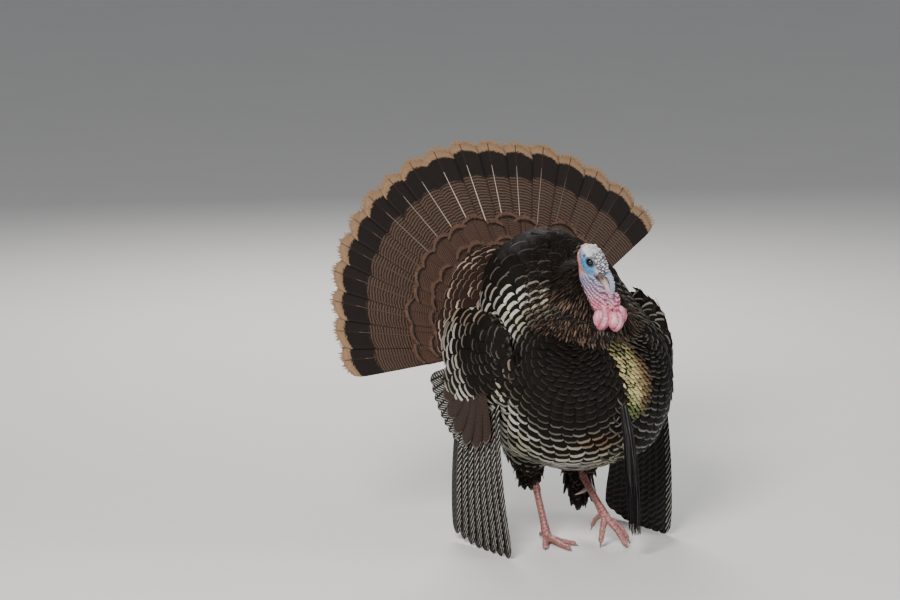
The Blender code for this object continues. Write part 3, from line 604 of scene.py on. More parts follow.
def unwrapInto(piece, x, y, width, height):
    # Unwraps the piece into one corner of the skin's map
    bpy.ops.object.select_all(action="DESELECT")
    bpy.context.view_layer.objects.active = piece
    piece.select_set(True)
    piece.data.uv_layers.new(name="OFBake")
    bpy.ops.object.mode_set(mode="EDIT")
    bpy.ops.mesh.select_all(action="SELECT")
    bpy.ops.uv.smart_project(angle_limit=math.radians(66), island_margin=0.001)
    bpy.ops.object.mode_set(mode="OBJECT")
    layer = piece.data.uv_layers["OFBake"].data
    margin = 0.003
    uv = readAll(layer, "uv", 2) * (width - 2 * margin, height - 2 * margin) + (x + margin, y + margin)
    layer.foreach_set("uv", uv.astype(np.float32).ravel())


def birdPlaces(co):
    # World points as left, ahead, up
    return table(co[:, 0] - middleX, rootY - co[:, 1], co[:, 2])


def blob(where, centre, reach):
    # 1 at the centre, falling away over the reach
    return np.exp(-(((where - np.array(centre)) / np.array(reach)) ** 2).sum(axis=-1))


def easeIn(value, low, high):
    t = np.clip((value - low) / (high - low), 0, 1)
    return t * t * (3 - 2 * t)


# How strong each patch is (painted glints, painted shade and coppery tints), its place as left, ahead and up,
# and its reach each way
bodyLightAndTint = {
    "flankGlint": (0.6, (-0.165, 0.165, 0.27), (0.05, 0.07, 0.05)),
    "bellyGlint": (0.3, (-0.05, 0.25, 0.225), (0.08, 0.09, 0.035)),
    "leftSideShade": (0.8, (0.105, 0.27, 0.37), (0.075, 0.09, 0.11)),
    "keelShade": (0.8, (0.008, 0.33, 0.27), (0.032, 0.09, 0.07)),
    "shoulderGlint": (0.95, (-0.152, 0.15, 0.462), (0.034, 0.055, 0.045)),
    "copperBreast": (0.85, (-0.055, 0.325, 0.268), (0.04, 0.06, 0.018)),
    "copperShoulder": (0.5, (-0.172, 0.233, 0.371), (0.03, 0.03, 0.03)),
}


def bodyPlumeAt(where):
    # The coat at places on the body: glintStrength = how strong the painted glint on the sheen bands is, low
    # where painted shade falls; warm = how coppery; own; light = how light the base is
    left, ahead, up = where.T
    lightAndTint = {name: amount * blob(where, centre, reach) for name, (amount, centre, reach) in bodyLightAndTint.items()}
    away = np.linalg.norm(where - np.array((-0.088, 0.29, 0.385)), axis=-1)
    # painted shadow of the head and neck: the glints fade out over the breast round this point
    glintStrength = 0.035 + 0.685 * easeIn(away, 0.075, 0.155)  # dark breast
    # painted shade: dimmer glints on the bird's left side
    glintStrength *= 1 - 0.45 * easeIn(left, 0.01, 0.05)
    # painted glints on the flank and the lower breast
    glintStrength += lightAndTint["flankGlint"] + lightAndTint["bellyGlint"]
    hump = easeIn(up, 0.47, 0.52) * easeIn(ahead, 0.185, 0.135)
    # fewer painted glints over the hump and the top of the back
    glintStrength *= (1 - 0.88 * hump) * (1 - 0.75 * easeIn(up, 0.48, 0.51))
    # fewer painted glints low on the belly
    glintStrength *= 1 - 0.65 * easeIn(up, 0.19, 0.14)
    # painted shade on the bird's left side and down the middle of the breast
    glintStrength *= (1 - lightAndTint["leftSideShade"]) * (1 - lightAndTint["keelShade"])
    # painted glints on the shoulder
    glintStrength += lightAndTint["shoulderGlint"]
    warm = 0.1 + lightAndTint["copperBreast"] + lightAndTint["copperShoulder"]
    warm += 0.55 * easeIn(ahead, 0.03, -0.02) + 0.25 * hump
    light = 0.04 + 0.12 * easeIn(up, 0.19, 0.15)
    return table(np.clip(glintStrength, 0, 1), np.clip(warm, 0, 1), 0, light)


def makeBodySkin(s):
    names = ("trunk", "neck", "rump", "undertail", "wing_coverts_left", "wing_coverts_right", "thigh_left",
             "thigh_right")
    piece = fused("bodySkin", [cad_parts[name].data for name in names], s["bodyVoxel"], 4)
    for _ in range(3):
        movePoints(piece, points(piece) - normals(piece) * s["coatDepth"] / 3)
        relax(piece, 2, 0.4)
    unwrapInto(piece, *s["corners"]["body"])
    paint(piece.data, "plume", bodyPlumeAt(birdPlaces(points(piece))))
    return piece


bodySkin = makeBodySkin(skinSettings)
bodyTree = treeOf(bodySkin.data)
bodyCo = points(bodySkin)
bodyQuads = np.array([tuple(p.vertices) for p in bodySkin.data.polygons])
bodyFaceUv = readAll(bodySkin.data.uv_layers["OFBake"].data, "uv", 2).reshape(-1, 4, 2).mean(axis=1)
print("body skin", len(bodyQuads), "faces")


def skinPlaces(roots):
    # Where a root lies on the body skin's unwrap, spread over the whole map
    x, y, width, height = skinSettings["corners"]["body"]
    found = np.array([bodyFaceUv[bodyTree.find_nearest(Vector(r))[2]] for r in roots])
    return (found - (x, y)) / (width, height)


def laid(way, normal):
    # A way turned to lie along the surface
    return (way - normal * way.dot(normal)).normalized()


def laidAll(ways, normals):
    return unit(ways - normals * (ways * normals).sum(axis=1, keepdims=True))


def landing(solid, start, ray, reach=0.01):
    # Where a ray meets the solid, and the body skin's nearest point and normal if it is within reach
    hit = solid.ray_cast(start, ray)[0]
    if hit is None:
        return None
    near, normal, _, gap = bodyTree.find_nearest(hit)
    return (hit, near, normal) if gap <= reach else None


def columns(rows):
    # Feathers noted one by one as root, way, length and half width, turned into four arrays
    return [np.array(column, dtype=float) for column in zip(*rows)]


layOut = []


def plant(name, s, feathers, plume, kind, slotName, tree=bodyTree):
    # The lay is remembered so that bare places can be filled in the same manner afterwards
    layOut.append((*feathers, plume))
    growCoat(name, tree, feathers, plume, s, kind, slotName)


def turnsOf(count, row, wander):
    # Turns round a ring, half a step on in every other row; drawn one by one
    for k in range(count):
        yield math.tau * (k + 0.5 * (row % 2) + wander * (rng.random() - 0.5)) / count


trunkCoat = {"centre": (0, 0.14, 0.335), "pole": (0.085, 0.275, 0.405), "first": 1.2, "last": 176,
             "step": (2.5, 4.8), "radius": 0.19, "width": 0.0225, "longer": 2.6,
             "halves": (0.0045, 0.02), "shape": "contour", "heights": (-0.001, 0.0056)}


def trunkRows(s, sign):
    # Rings of feathers round a pole on one side of the breast
    solid, centre = nodeTree("trunk"), at(*s["centre"])
    left, ahead, up = s["pole"]
    pole = (at(sign * left, ahead, up) - centre).normalized()
    first = pole.cross(Vector((0, 0, 1))).normalized()
    second = pole.cross(first).normalized()
    rows = []
    turn, ring = s["first"], 0
    while turn < s["last"]:
        since = turn - s["first"]
        step, theta = between(s["step"], min(1, since / 60)), math.radians(turn)
        wide = s["width"] * (0.5 + 0.5 * min(1, since / 50))
        count = max(6, round(math.tau * s["radius"] * math.sin(theta) / wide))
        for phi in turnsOf(count, ring, 0.2):
            flat = first * math.cos(phi) + second * math.sin(phi)
            tilt = theta + math.radians(step) * 0.22 * (rng.random() - 0.5)
            found = landing(solid, centre, pole * math.cos(tilt) + flat * math.sin(tilt))
            if not found or (found[0].x - middleX) * sign < -0.003:
                continue
            hit, near, normal = found
            way = flat * math.cos(theta) - pole * math.sin(theta)
            way += Vector((0, 0, -2.2)) * min(1, max(0, (17 - turn) / 5))
            far = (hit - centre).length
            rows.append((near, laid(way, normal), math.radians(step) * far * s["longer"],
                         0.6 * math.tau * far * math.sin(theta) / count))
        turn += step
        ring += 1
    return rows


goldGlintCoat = {"up": (0.44, 0.28, -0.0066), "left": (-0.012, 0.09, 0.0096), "way": (-0.66, 0, -1.0),
            "length": 0.0225, "half": 0.006, "least": 0.3, "edge": 0.36, "shape": "contour",
            "heights": (0.0, 0.0068)}


# Where the painted gold-green glint lies on the left of the breast
def goldGlintHere(where):
    left, _, up = where.T
    seam = 0.004 + 0.14 * (0.4 - up)
    return blob(where, (0.03, 0.31, 0.365), (0.043, 0.09, 0.068)) * easeIn(left, seam - 0.004, seam)


def dressTrunk(s):
    roots, ways, lengths, halves = columns(trunkRows(s, 1) + trunkRows(s, -1))
    where = birdPlaces(roots)
    plume = bodyPlumeAt(where)
    # glint: a few painted glints on the sheen bands over the back
    glint = easeIn(where[:, 2], 0.465, 0.5) * rng.random(len(roots)) ** 5  # a few bright edges on the back
    plume[:, 0] = np.clip(plume[:, 0] + 0.3 * glint, 0, 1)
    kept = goldGlintHere(where) < goldGlintCoat["edge"]
    feathers = [x[kept] for x in (roots, ways, lengths, np.clip(halves, *s["halves"]))]
    plant("trunk_coat", s, feathers, plume[kept], "bodyPlumes", "dark_plumage")


def dressGoldGlint(s):
    # Small feathers in even slanting rows on the left of the breast, coloured with a painted gold-green glint
    solid, rows = nodeTree("trunk"), []
    for row, up in enumerate(np.arange(*s["up"])):
        for left in np.arange(*s["left"]) + 0.5 * (row % 2) * s["left"][2]:
            start = at(left + 0.0012 * (rng.random() - 0.5), 0.6, up)
            found = landing(solid, start, Vector((0, 1, 0)))
            if found and goldGlintHere(birdPlaces(np.array(found[:1])))[0] >= s["least"]:
                rows.append((found[1], laid(Vector(s["way"]), found[2]), s["length"], s["half"]))
    feathers = columns(rows)
    where = birdPlaces(feathers[0])
    plume = table(np.clip(goldGlintHere(where) * 1.6 - 0.25, 0, 1),
                  np.clip(0.04 + 0.9 * easeIn(where[:, 0], 0.03, 0.062), 0, 1), 0, 0)
    plant("gold_glint_coat", s, feathers, plume, "goldGlintPlumes", "dark_plumage")


dressTrunk(trunkCoat)
dressGoldGlint(goldGlintCoat)

neckCoat = {"spacing": 0.0039, "length": (0.021, 0.035), "half": (0.0011, 0.0018), "shape": "small",
            "splay": 0.16, "heights": (-0.001, 0.0056)}


def onSkin(spacing, wanted):
    # Evenly strewn places on the body skin, likelier where wanted(places) is greater, and their normals
    corners = bodyCo[bodyQuads]
    edgeA, edgeB = corners[:, 1] - corners[:, 0], corners[:, 3] - corners[:, 0]
    area = np.linalg.norm(np.cross(edgeA, edgeB), axis=1)
    chance = area * wanted(birdPlaces(corners.mean(axis=1)))
    total = chance.sum()
    count = int(total / spacing ** 2 * 5)
    face = rng.choice(len(area), size=count, p=chance / total)
    u, v = rng.random(count)[:, None], rng.random(count)[:, None]
    place = corners[face, 0] + edgeA[face] * u + edgeB[face] * v
    taken, keep = {}, []
    boxes = np.floor(place / spacing).astype(int)
    around = (-1, 0, 1)
    for i, (x, y, z) in enumerate(boxes):
        near = [j for dx in around for dy in around for dz in around
                for j in taken.get((x + dx, y + dy, z + dz), ())]
        if all(((place[i] - place[j]) ** 2).sum() >= spacing ** 2 for j in near):
            taken.setdefault((x, y, z), []).append(i)
            keep.append(i)
    return place[keep], unit(np.cross(edgeA[face], edgeB[face]))[keep]


def neckHere(where):
    left, ahead, up = where.T
    away = np.sqrt((left / 0.1) ** 2 + ((ahead - 0.192) / (0.094 + 0.012 * (ahead > 0.192))) ** 2)
    return easeIn(away, 1.12, 1.08) * (up > 0.418 + 0.33 * np.abs(left)) * (up + 0.9 * (ahead - 0.19) < 0.6)


def dressNeck(s):
    roots, facing = onSkin(s["spacing"], neckHere)
    left, ahead, up = birdPlaces(roots).T
    fore = ahead - 0.215
    reach = np.sqrt(left ** 2 + fore ** 2) + 1e-6
    ways = table(left / reach, -fore / reach, 0) * 0.7 + np.array((0, 0, -1.0))
    ways = laidAll(ways + 0.25 * (rng.random((len(roots), 3)) - 0.5), facing)
    low = easeIn(up, 0.52, 0.42)
    behind = np.maximum(easeIn(ahead, 0.17, 0.12) * easeIn(up, 0.44, 0.47),
                        easeIn(up, 0.49, 0.525) * easeIn(left, -0.075, -0.05))
    # glint strength: random per feather, so the painted glints on the sheen bands make streaks; fewer painted
    # glints behind the neck and just behind the head
    plume = table((1.0 - 0.8 * behind) * (0.08 + 0.92 * rng.random(len(roots)) ** 1.6),
                  np.clip(0.95 - 0.75 * easeIn(up, 0.45, 0.41) - 0.3 * behind, 0.1, 0.95), 0, 0.1)
    feathers = [roots, ways, between(s["length"], low), between(s["half"], low)]
    plant("neck_coat", s, feathers, plume, "neckPlumes", "copper_plumage")


dressNeck(neckCoat)

wingCoat = {"pole": (0.197, 0.407), "first": 0.002, "last": 0.3, "step": (0.0095, 0.0175),
            "width": (0.013, 0.0255), "outside": 0.45, "reach": 0.011, "shape": "contour",
            "heights": (-0.001, 0.006)}


def dressWing(side, sign, s):
    # Rows ring the dark shoulder of the folded wing, and point away from it
    solid = nodeTree("wing_coverts_" + side)
    middle, height = s["pole"]
    outward = Vector((sign, 0, 0))
    rows = []
    radius, ring = s["first"], 0
    while radius < s["last"]:
        share = min(1, radius / 0.1)
        step, wide = between(s["step"], share), between(s["width"], share)
        count = max(6, round(math.tau * radius / wide))
        for phi in turnsOf(count, ring, 0.18):
            far = radius + step * 0.25 * (rng.random() - 0.5)
            start = at(sign * s["outside"], middle + far * math.cos(phi), height + far * math.sin(phi))
            found = landing(solid, start, -outward, s["reach"])
            level = found[2].dot(outward) if found else 0
            if level < 0.12:
                continue
            way = Vector((0, -math.cos(phi), math.sin(phi)))
            way += Vector((0, 0.6, -0.4)) * (1 + 2.5 * max(0, 1 - radius / 0.06))
            rows.append((found[1], laid(way, found[2]), step * 2.6 * (0.5 + 0.5 * min(1, level / 0.65)),
                         wide * 0.62))
        radius += step
        ring += 1
    feathers = columns(rows)
    where = birdPlaces(feathers[0])
    left, ahead, up = where.T
    # glint strength of the sheen bands: painted glints dim round the middle of the wing, stronger towards its
    # front and bottom, with a random spread
    centre = easeIn(np.sqrt((ahead - middle + 0.01) ** 2 + (up - height + 0.012) ** 2), 0.045, 0.095)
    glintStrength = (0.06 + 0.72 * centre + 0.4 * easeIn(ahead, 0.1, 0.05) + 0.3 * easeIn(up, 0.36, 0.31)
              + 0.25 * (rng.random(len(where)) - 0.5))
    warm = 0.12 + 0.45 * easeIn(up, 0.42, 0.46)
    warm += 0.6 * blob(where, (left.mean(), 0.235, 0.37), (1, 0.03, 0.03))
    plume = table(np.clip(glintStrength, 0, 1), np.clip(warm, 0, 1), 0, 0.05)
    plant("wing_coat_" + side, s, feathers, plume, "bodyPlumes", "dark_plumage")


for side, sign in bothSides:
    dressWing(side, sign, wingCoat)

thighCoat = {"right": ((-0.07, 0.085, 0.235), (-0.048, 0.072, 0.108)), "rows": 22, "spacing": 0.0088,
             "left": ((0.068, 0.11, 0.235), (0.04, 0.106, 0.092)), "radius": (0.055, 0.018),
             "length": {"left": 0.054, "right": 0.04}, "half": (0.006, 0.0045), "down": (0, 0.02, -0.03),
             "plume": (0.14, 0.65, 0.0, 0.16), "shape": "small", "splay": 0.25, "heights": (-0.001, 0.0085)}


def dressThigh(side, s):
    solid = nodeTree("thigh_" + side)
    top, low = at(*s[side][0]), at(*s[side][1])
    rows = []
    for i in range(s["rows"]):
        share = i / (s["rows"] - 1)
        count = round(math.tau * between(s["radius"], share) / s["spacing"])
        for phi in turnsOf(count, i, 0.3):
            found = landing(solid, top.lerp(low, share), Vector((math.cos(phi), math.sin(phi), 0)))
            if found:
                rows.append((found[1], laid(low - top + Vector(s["down"]), found[2]),
                             s["length"][side] * (0.7 + 0.3 * rng.random()), between(s["half"], share)))
    plume = np.tile(s["plume"], (len(rows), 1))
    plant("thigh_coat_" + side, s, columns(rows), plume, "bodyPlumes", "dark_plumage")


for side, _ in bothSides:
    dressThigh(side, thighCoat)

shagCoat = {"left": {"centre": (0.046, 0.107, 0), "count": 110, "low": (0.098, 0.175),
                     "length": (0.034, 0.056)},
            "right": {"centre": (-0.05, 0.074, 0), "count": 60, "low": (0.12, 0.17),
                      "length": (0.024, 0.036)},
            "radius": (0.012, 0.03), "half": 0.0072, "rows": 6, "glintStrength": 0.16, "warm": 0.55, "light": 0.12,
            "shape": {"columns": 4, "round": 0.7, "cup": 0.25, "rootWidth": 0.5, "tipWidth": 0.6}}


def hangShag(side, s):
    # Loose feathers that hang off the thigh round the top of the shank
    own = s[side]
    count = own["count"]
    turn = rng.random(count) * math.tau
    share = rng.random(count)
    out = table(np.cos(turn), np.sin(turn), 0)
    bases = spot(*own["centre"]) + out * between(s["radius"], share)[:, None]
    bases[:, 2] += between(own["low"], share)
    ways = unit(out * 0.22 + np.array((0, 0, -1.0)) + 0.3 * (rng.random((count, 3)) - 0.5))
    lengths = between(own["length"], rng.random(count))
    spine, along, up, _ = straightLines(bases, ways, laidAll(out, ways), lengths, s["rows"], -0.1)
    verts, lie, cell, faces = vaneGrid(spine, along, up, np.full(count, s["half"]), lengths,
                                       np.zeros((count, s["rows"])), s["shape"])
    plume = table(s["glintStrength"], s["warm"], rng.random(count), s["light"])
    copies = s["rows"] * (s["shape"]["columns"] + 1)
    point = {"lie": lie, "plume": perVertex(plume, copies)}
    buildMesh("thigh_shag_" + side, verts, faces, plumeMaterials["bodyPlumes"],
              patchCells(bases, cell, copies), point, "dark_plumage")


for side, _ in bothSides:
    hangShag(side, shagCoat)
print("coats of the body")

tailPlan = {"up": 0.375, "lean": 31, "middle": -19, "yaw": -5, "spread": 152, "quills": 18, "length": 0.433,
            "root": 0.06, "rounding": 0.035, "uneven": 0.007, "dish": 0.016, "dishRadius": 0.438,
            "overlap": 0.6, "tilt": 2.6, "rows": 26,
            "swell": (0.16, 0.85, 0.13, 0.93), "shape": {"columns": 12, "round": 0.38, "cup": 0.0},
            "thick": 0.0005, "kind": "fanQuills", "slot": "tail_plumage"}


def findTailAxes(s):
    # Up along the middle quill, across to the bird's left, and out towards its head
    lean, yaw = math.radians(s["lean"]), math.radians(s["yaw"])
    axes = ((0, math.sin(lean), math.cos(lean)), (1, 0, 0), (0, -math.cos(lean), math.sin(lean)))
    return [np.array((x * math.cos(yaw) - y * math.sin(yaw), x * math.sin(yaw) + y * math.cos(yaw), z))
            for x, y, z in axes]


tailAxes = findTailAxes(tailPlan)
tailUp, tailLeft, tailFacing = tailAxes
tailHub = spot(0, 0, tailPlan["up"])
tailMiddle, tailSpread = math.radians(tailPlan["middle"]), math.radians(tailPlan["spread"])


def tailBow(radius):
    return tailPlan["dish"] * (radius / tailPlan["dishRadius"]) ** 2


def liesOf(angles):
    # Each quill lies over its neighbour towards the middle of the fan
    return np.where(angles >= tailMiddle, 1.0, -1.0)


def radialLines(hub, axes, angles, starts, ends, rows, height, tilt, flip=1):
    # Middle lines of feathers that radiate from a hub. height(radius) is off the plane of the axes
    first, second, facing = axes
    radius = starts[:, None] + (ends - starts)[:, None] * np.linspace(0, 1, rows)
    cos, sin = np.cos(angles)[:, None], np.sin(angles)[:, None]
    way, side = (first * cos + second * sin)[:, None, :], (second * cos - first * sin)[:, None, :]
    lift = height(radius)
    spine = hub + way * radius[..., None] + facing * lift[..., None]
    slope = (np.gradient(lift, axis=1) / np.gradient(radius, axis=1))[..., None]
    up = unit(flip * (facing - way * slope))
    up = unit(up + side * np.tan(tilt)[:, None, None])
    return spine, unit(way + facing * slope), up, radius


def vanePiece(name, lines, halves, lift, swell, plume, shape, thick, material, slotName, mirror=1,
              offCentre=0.0):
    # Vanes along the lines, each with its own cell of the map
    spine, along, up, radius = lines
    count, rows = spine.shape[:2]
    verts, lie, cell, faces = vaneGrid(spine, along, up, halves, radius[:, -1] - radius[:, 0], lift, shape,
                                       thick, swell)
    lie[:, 0] = mirror * lie[:, 0] - offCentre
    copies, layers = rows * (shape["columns"] + 1), 2 if thick else 1
    return buildMesh(name, verts, faces, material, gridCells(count, cell, copies, layers),
                     {"lie": lie, "plume": perVertex(plume, copies, layers)}, slotName)


def quillPiece(name, lines, half, swell, s, wobble=0.0, **more):
    count, rows = lines[0].shape[:2]
    lift = np.zeros((count, rows))
    if wobble:
        lift += wobble * np.sin(np.linspace(0, 3.5, rows) + rng.random(count)[:, None] * 6)
        lift -= lift[:, :1]
    plume = table(0, 0, rng.random(count), 0.3)
    print(name, count, "quills")
    return vanePiece(name, lines, np.full(count, half), lift, swell, plume, s["shape"], s["thick"],
                     plumeMaterials[s["kind"]], s["slot"], **more)


def radialPiece(name, s, hub, axes, angles, ends, height, tilt, half, flip=1, **more):
    # Quills that radiate from a hub. Gives the piece and the quills' middle lines
    count = len(angles)
    start, power, cut, since = s["swell"]  # width at the root, how it grows, how much and where it narrows
    v = np.linspace(0, 1, s["rows"])
    swell = (start + (1 - start) * v ** power) * (1 - cut * np.clip((v - since) / (1 - since), 0, 1) ** 2)
    lines = radialLines(hub, axes, angles, np.full(count, s["root"]), ends, s["rows"], height,
                        np.broadcast_to(tilt, count), flip)
    return quillPiece(name, lines, half, swell, s, **more), lines


def tailPiece(name, s, angles, ends, height, half, flip=1, **more):
    return radialPiece(name, s, tailHub, tailAxes, angles, ends, height,
                       -liesOf(angles) * math.radians(s["tilt"]), half, flip, **more)


def spaced(low, high, count):
    return low + (high - low) * (np.arange(count) + 0.5) / count


def makeFan(s):
    low, high = tailMiddle - tailSpread / 2, tailMiddle + tailSpread / 2
    angles = spaced(low, high, s["quills"])
    aside = np.abs(angles - tailMiddle) / (tailSpread / 2)
    ends = s["length"] * (1 - s["rounding"] * aside ** 4) - s["uneven"] * rng.random(s["quills"]) + 0.0015
    half = s["dishRadius"] * tailSpread / s["quills"] * s["overlap"]
    fan, _ = tailPiece("tail_quills", s, angles, ends, tailBow, half)
    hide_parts("tail_fan")
    return angles, ends, half


fanAngles, fanEnds, fanHalf = makeFan(tailPlan)

fanFrays = {"perQuill": 34, "length": (0.006, 0.014), "half": 0.0011, "sag": 0.38, "back": 0.004,
            "farthest": 0.4405, "missing": 0.16, "clump": 0.9, "thick": 0, "kind": "frayQuills",
            "shape": {"columns": 2, "round": 0.2, "cup": 0.1}, "slot": "tail_plumage"}
covertFringe = dict(fanFrays, perQuill=40, length=(0.005, 0.011), half=0.001, sag=0.45, back=0.0055,
                    farthest=0.29, kind="covertFrays")


def makeFrays(name, s, angles, ends, half, height):
    # The worn ends of the tail feathers: little tufts of barbs that splay
    rows = []
    for angle, end, lie in zip(angles, ends, liesOf(angles)):
        way = tailUp * math.cos(angle) + tailLeft * math.sin(angle)
        side = tailLeft * math.cos(angle) - tailUp * math.sin(angle)
        for k in range(s["perQuill"]):
            if k % 5 == 0:
                lean = s["clump"] * (rng.random() - 0.5)
            if rng.random() < s["missing"]:
                continue
            u = -0.97 + 1.94 * (k + 0.5) / s["perQuill"]
            radius = end - s["sag"] * half * u * u - s["back"]
            base = tailHub + way * radius + side * (u * half * 0.86) + tailFacing * (
                height(radius) + lie * u * half * 0.045 + 0.0004 * rng.random())
            go = unit(way + side * (0.22 * u + lean + 0.35 * (rng.random() - 0.5)))
            span = between(s["length"], rng.random())
            rows.append((base, go, tailFacing, min(span, s["farthest"] - radius)))
    quillPiece(name, straightLines(*columns(rows), 3, 0.12), s["half"], np.array((1.0, 0.9, 0.35)), s)


makeFrays("tail_frays", fanFrays, fanAngles, fanEnds, fanHalf, tailBow)

shaftPlan = {"shape": {"columns": 2, "round": 0.0, "cup": 0.35}, "thin": 0.3, "root": 0.15, "short": 0.05,
             "rows": 14, "half": 0.0014, "thick": 0.0011, "lift": 0.0008, "pale": (0.42, 0.33, 0.26),
             "palest": (0.66, 0.58, 0.5), "dark": (0.05, 0.033, 0.025), "brown": (0.11, 0.074, 0.055)}


def shaftMaterial(s):
    material, shader = newMaterial("quillShafts")
    # own = how pale the shaft is: tan, whitened by painted glint in the middle of the fan
    own = split(named(shader, "plume")["Color"])[0]
    grain = noisy(places(shader), 180.0)
    colour = blend(own, blend(grain, s["dark"], s["brown"]), blend(grain, s["pale"], s["palest"]))
    feed(shader, {"Base Color": colour, "Roughness": times(grain, 0.2, 0.28),
                  "Normal": bump(grain, 0.3, 0.0004)})
    return material


shaftFinish = shaftMaterial(shaftPlan)


def addShafts(name, lines, paleAndGlint, half, thick, slotName, lift):
    spine, along, up, radius = lines
    count, rows = spine.shape[:2]
    swell, plume = np.linspace(1, shaftPlan["thin"], rows), table(paleAndGlint + np.zeros(count), 0, 0, 1)
    return vanePiece(name, (spine + up * lift, along, up, radius), np.full(count, half),
                     np.zeros((count, rows)), swell, plume, shaftPlan["shape"], thick, shaftFinish, slotName)


def makeTailShafts(s):
    # Pale in the middle of the fan, where the tan shafts carry a painted glint, dark at its sides
    lines = radialLines(tailHub, tailAxes, fanAngles, np.full(len(fanAngles), s["root"]),
                        fanEnds - s["short"], s["rows"], tailBow,
                        -liesOf(fanAngles) * math.radians(tailPlan["tilt"]))
    pale = np.clip(1.15 - np.abs(fanAngles - tailMiddle - 0.18) / 0.62, 0.0, 1) ** 1.3
    addShafts("tail_shafts", lines, pale, s["half"], s["thick"], "tail_plumage", s["lift"])


makeTailShafts(shaftPlan)

longCoverts = {"name": "tail_coverts_long", "count": 16, "tip": 0.286, "short": 0.04, "root": 0.1,
               "lift": 0.0035, "overlap": 0.66, "tilt": 2.5, "hill": 0.019, "hillEnd": 0.288, "rows": 14,
               "swell": (0.4, 0.8, 0.1, 0.9), "shape": {"columns": 8, "round": 0.45, "cup": 0.06},
               "thick": 0.0004, "kind": "covertQuills", "slot": "copper_plumage"}
shortCoverts = dict(longCoverts, name="tail_coverts_short", count=17, tip=0.232, short=0.03, root=0.09,
                    lift=0.0062, overlap=0.7)


def makeTailCoverts(s):
    spread = tailSpread * 0.985
    angles = spaced(tailMiddle - spread / 2, tailMiddle + spread / 2, s["count"])
    angles = angles + (rng.random(s["count"]) - 0.5) * 0.05
    ends = s["tip"] - s["short"] * rng.random(s["count"]) ** 1.5
    half = s["tip"] * spread / s["count"] * s["overlap"]

    def height(radius):
        return tailBow(radius) + s["lift"] + s["hill"] * np.clip(1 - radius / s["hillEnd"], 0, 1)

    piece, _ = tailPiece(s["name"], s, angles, ends, height, half, wobble=0.0006)
    return piece, (angles, ends, half, height)


longPiece, longWear = makeTailCoverts(longCoverts)
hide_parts("tail_coverts")
_, shortWear = makeTailCoverts(shortCoverts)
makeFrays("tail_coverts_long_frays", covertFringe, *longWear)
makeFrays("tail_coverts_short_frays", covertFringe, *shortWear)

rumpPlan = {"radius": (0.08, 0.178), "rows": 11, "across": 0.02, "length": 0.046, "turns": (-128, 118),
            "shape": "contour", "heights": (-0.003, 0.002)}


def makeRumpCoat(s):
    solid, trunkSolid = nodeTree("rump"), nodeTree("trunk")
    hub, facing = Vector(tailHub), Vector(tailFacing)
    low, high = np.radians(s["turns"])
    rows = []
    for i in range(s["rows"]):
        radius = between(s["radius"], i / (s["rows"] - 1))
        count = round(radius * (high - low) / s["across"])
        for k in range(count + 1):
            angle = low + (high - low) * (k + 0.5 * (i % 2) + 0.2 * (rng.random() - 0.5)) / count
            way = Vector(tailUp) * math.cos(angle) + Vector(tailLeft) * math.sin(angle)
            hit = solid.ray_cast(hub + way * radius + facing * 0.3, -facing)[0]
            if hit is None:
                continue
            near, normal, _, _ = trunkSolid.find_nearest(hit)
            if (hit - near).dot(normal) >= -0.006:
                rows.append((hit, way, s["length"], s["across"] * 0.68))
    plume = table(0.35 + 0.65 * rng.random(len(rows)), 0.8, 0, 0.1)
    plant("rump_coat", s, columns(rows), plume, "rumpPlumes", "copper_plumage", solid)


makeRumpCoat(rumpPlan)

fillCoat = {"reach": 0.0105, "spacing": 0.0115, "length": (0.018, 0.03), "half": (0.008, 0.014),
            "shape": "contour", "heights": (-0.001, 0.0034)}


def fillBarePlaces(s):
    # Feathers of the neighbours' kind wherever the rows leave the skin bare
    roots, ways, lengths, halves, plume = [np.concatenate(column) for column in zip(*layOut)]
    shares = (0.15, 0.35, 0.55, 0.75, 0.9)
    covered = KDTree(len(roots) * len(shares))
    for k, share in enumerate(shares):
        for i, p in enumerate(roots + ways * lengths[:, None] * share):
            covered.insert(p, k * len(roots) + i)
    covered.balance()
    bare, facing = onSkin(s["spacing"], lambda where: np.ones(len(where)))
    found = [covered.find(Vector(p))[1:] for p in bare]
    chosen = [i for i, (_, gap) in enumerate(found) if gap > s["reach"]]
    source = np.array([found[i][0] % len(roots) for i in chosen])
    feathers = [bare[chosen], laidAll(ways[source], facing[chosen]), np.clip(lengths[source], *s["length"]),
                np.clip(halves[source], *s["half"])]
    growCoat("fill_coat", bodyTree, feathers, plume[source], s, "bodyPlumes", "dark_plumage")


fillBarePlaces(fillCoat)

undertailLong = {"name": "undertail_long", "count": 14, "tip": 0.198, "root": 0.05, "turns": (-92, 55),
                 "lift": 0.0038, "tilt": 3, "hill": 0.044, "hillEnd": 0.205, "overlap": 0.72, "rows": 12,
                 "swell": (0.45, 0.8, 0.12, 0.85), "shape": {"columns": 6, "round": 0.7, "cup": 0.08},
                 "thick": 0.0004, "kind": "underQuills", "slot": "tail_plumage"}
undertailMid = dict(undertailLong, name="undertail_mid", count=26, tip=0.142, root=0.03, turns=(-180, 166),
                    lift=0.005)
undertailShort = dict(undertailLong, name="undertail_short", count=20, tip=0.092, root=0.02,
                      turns=(-180, 162), lift=0.0062)


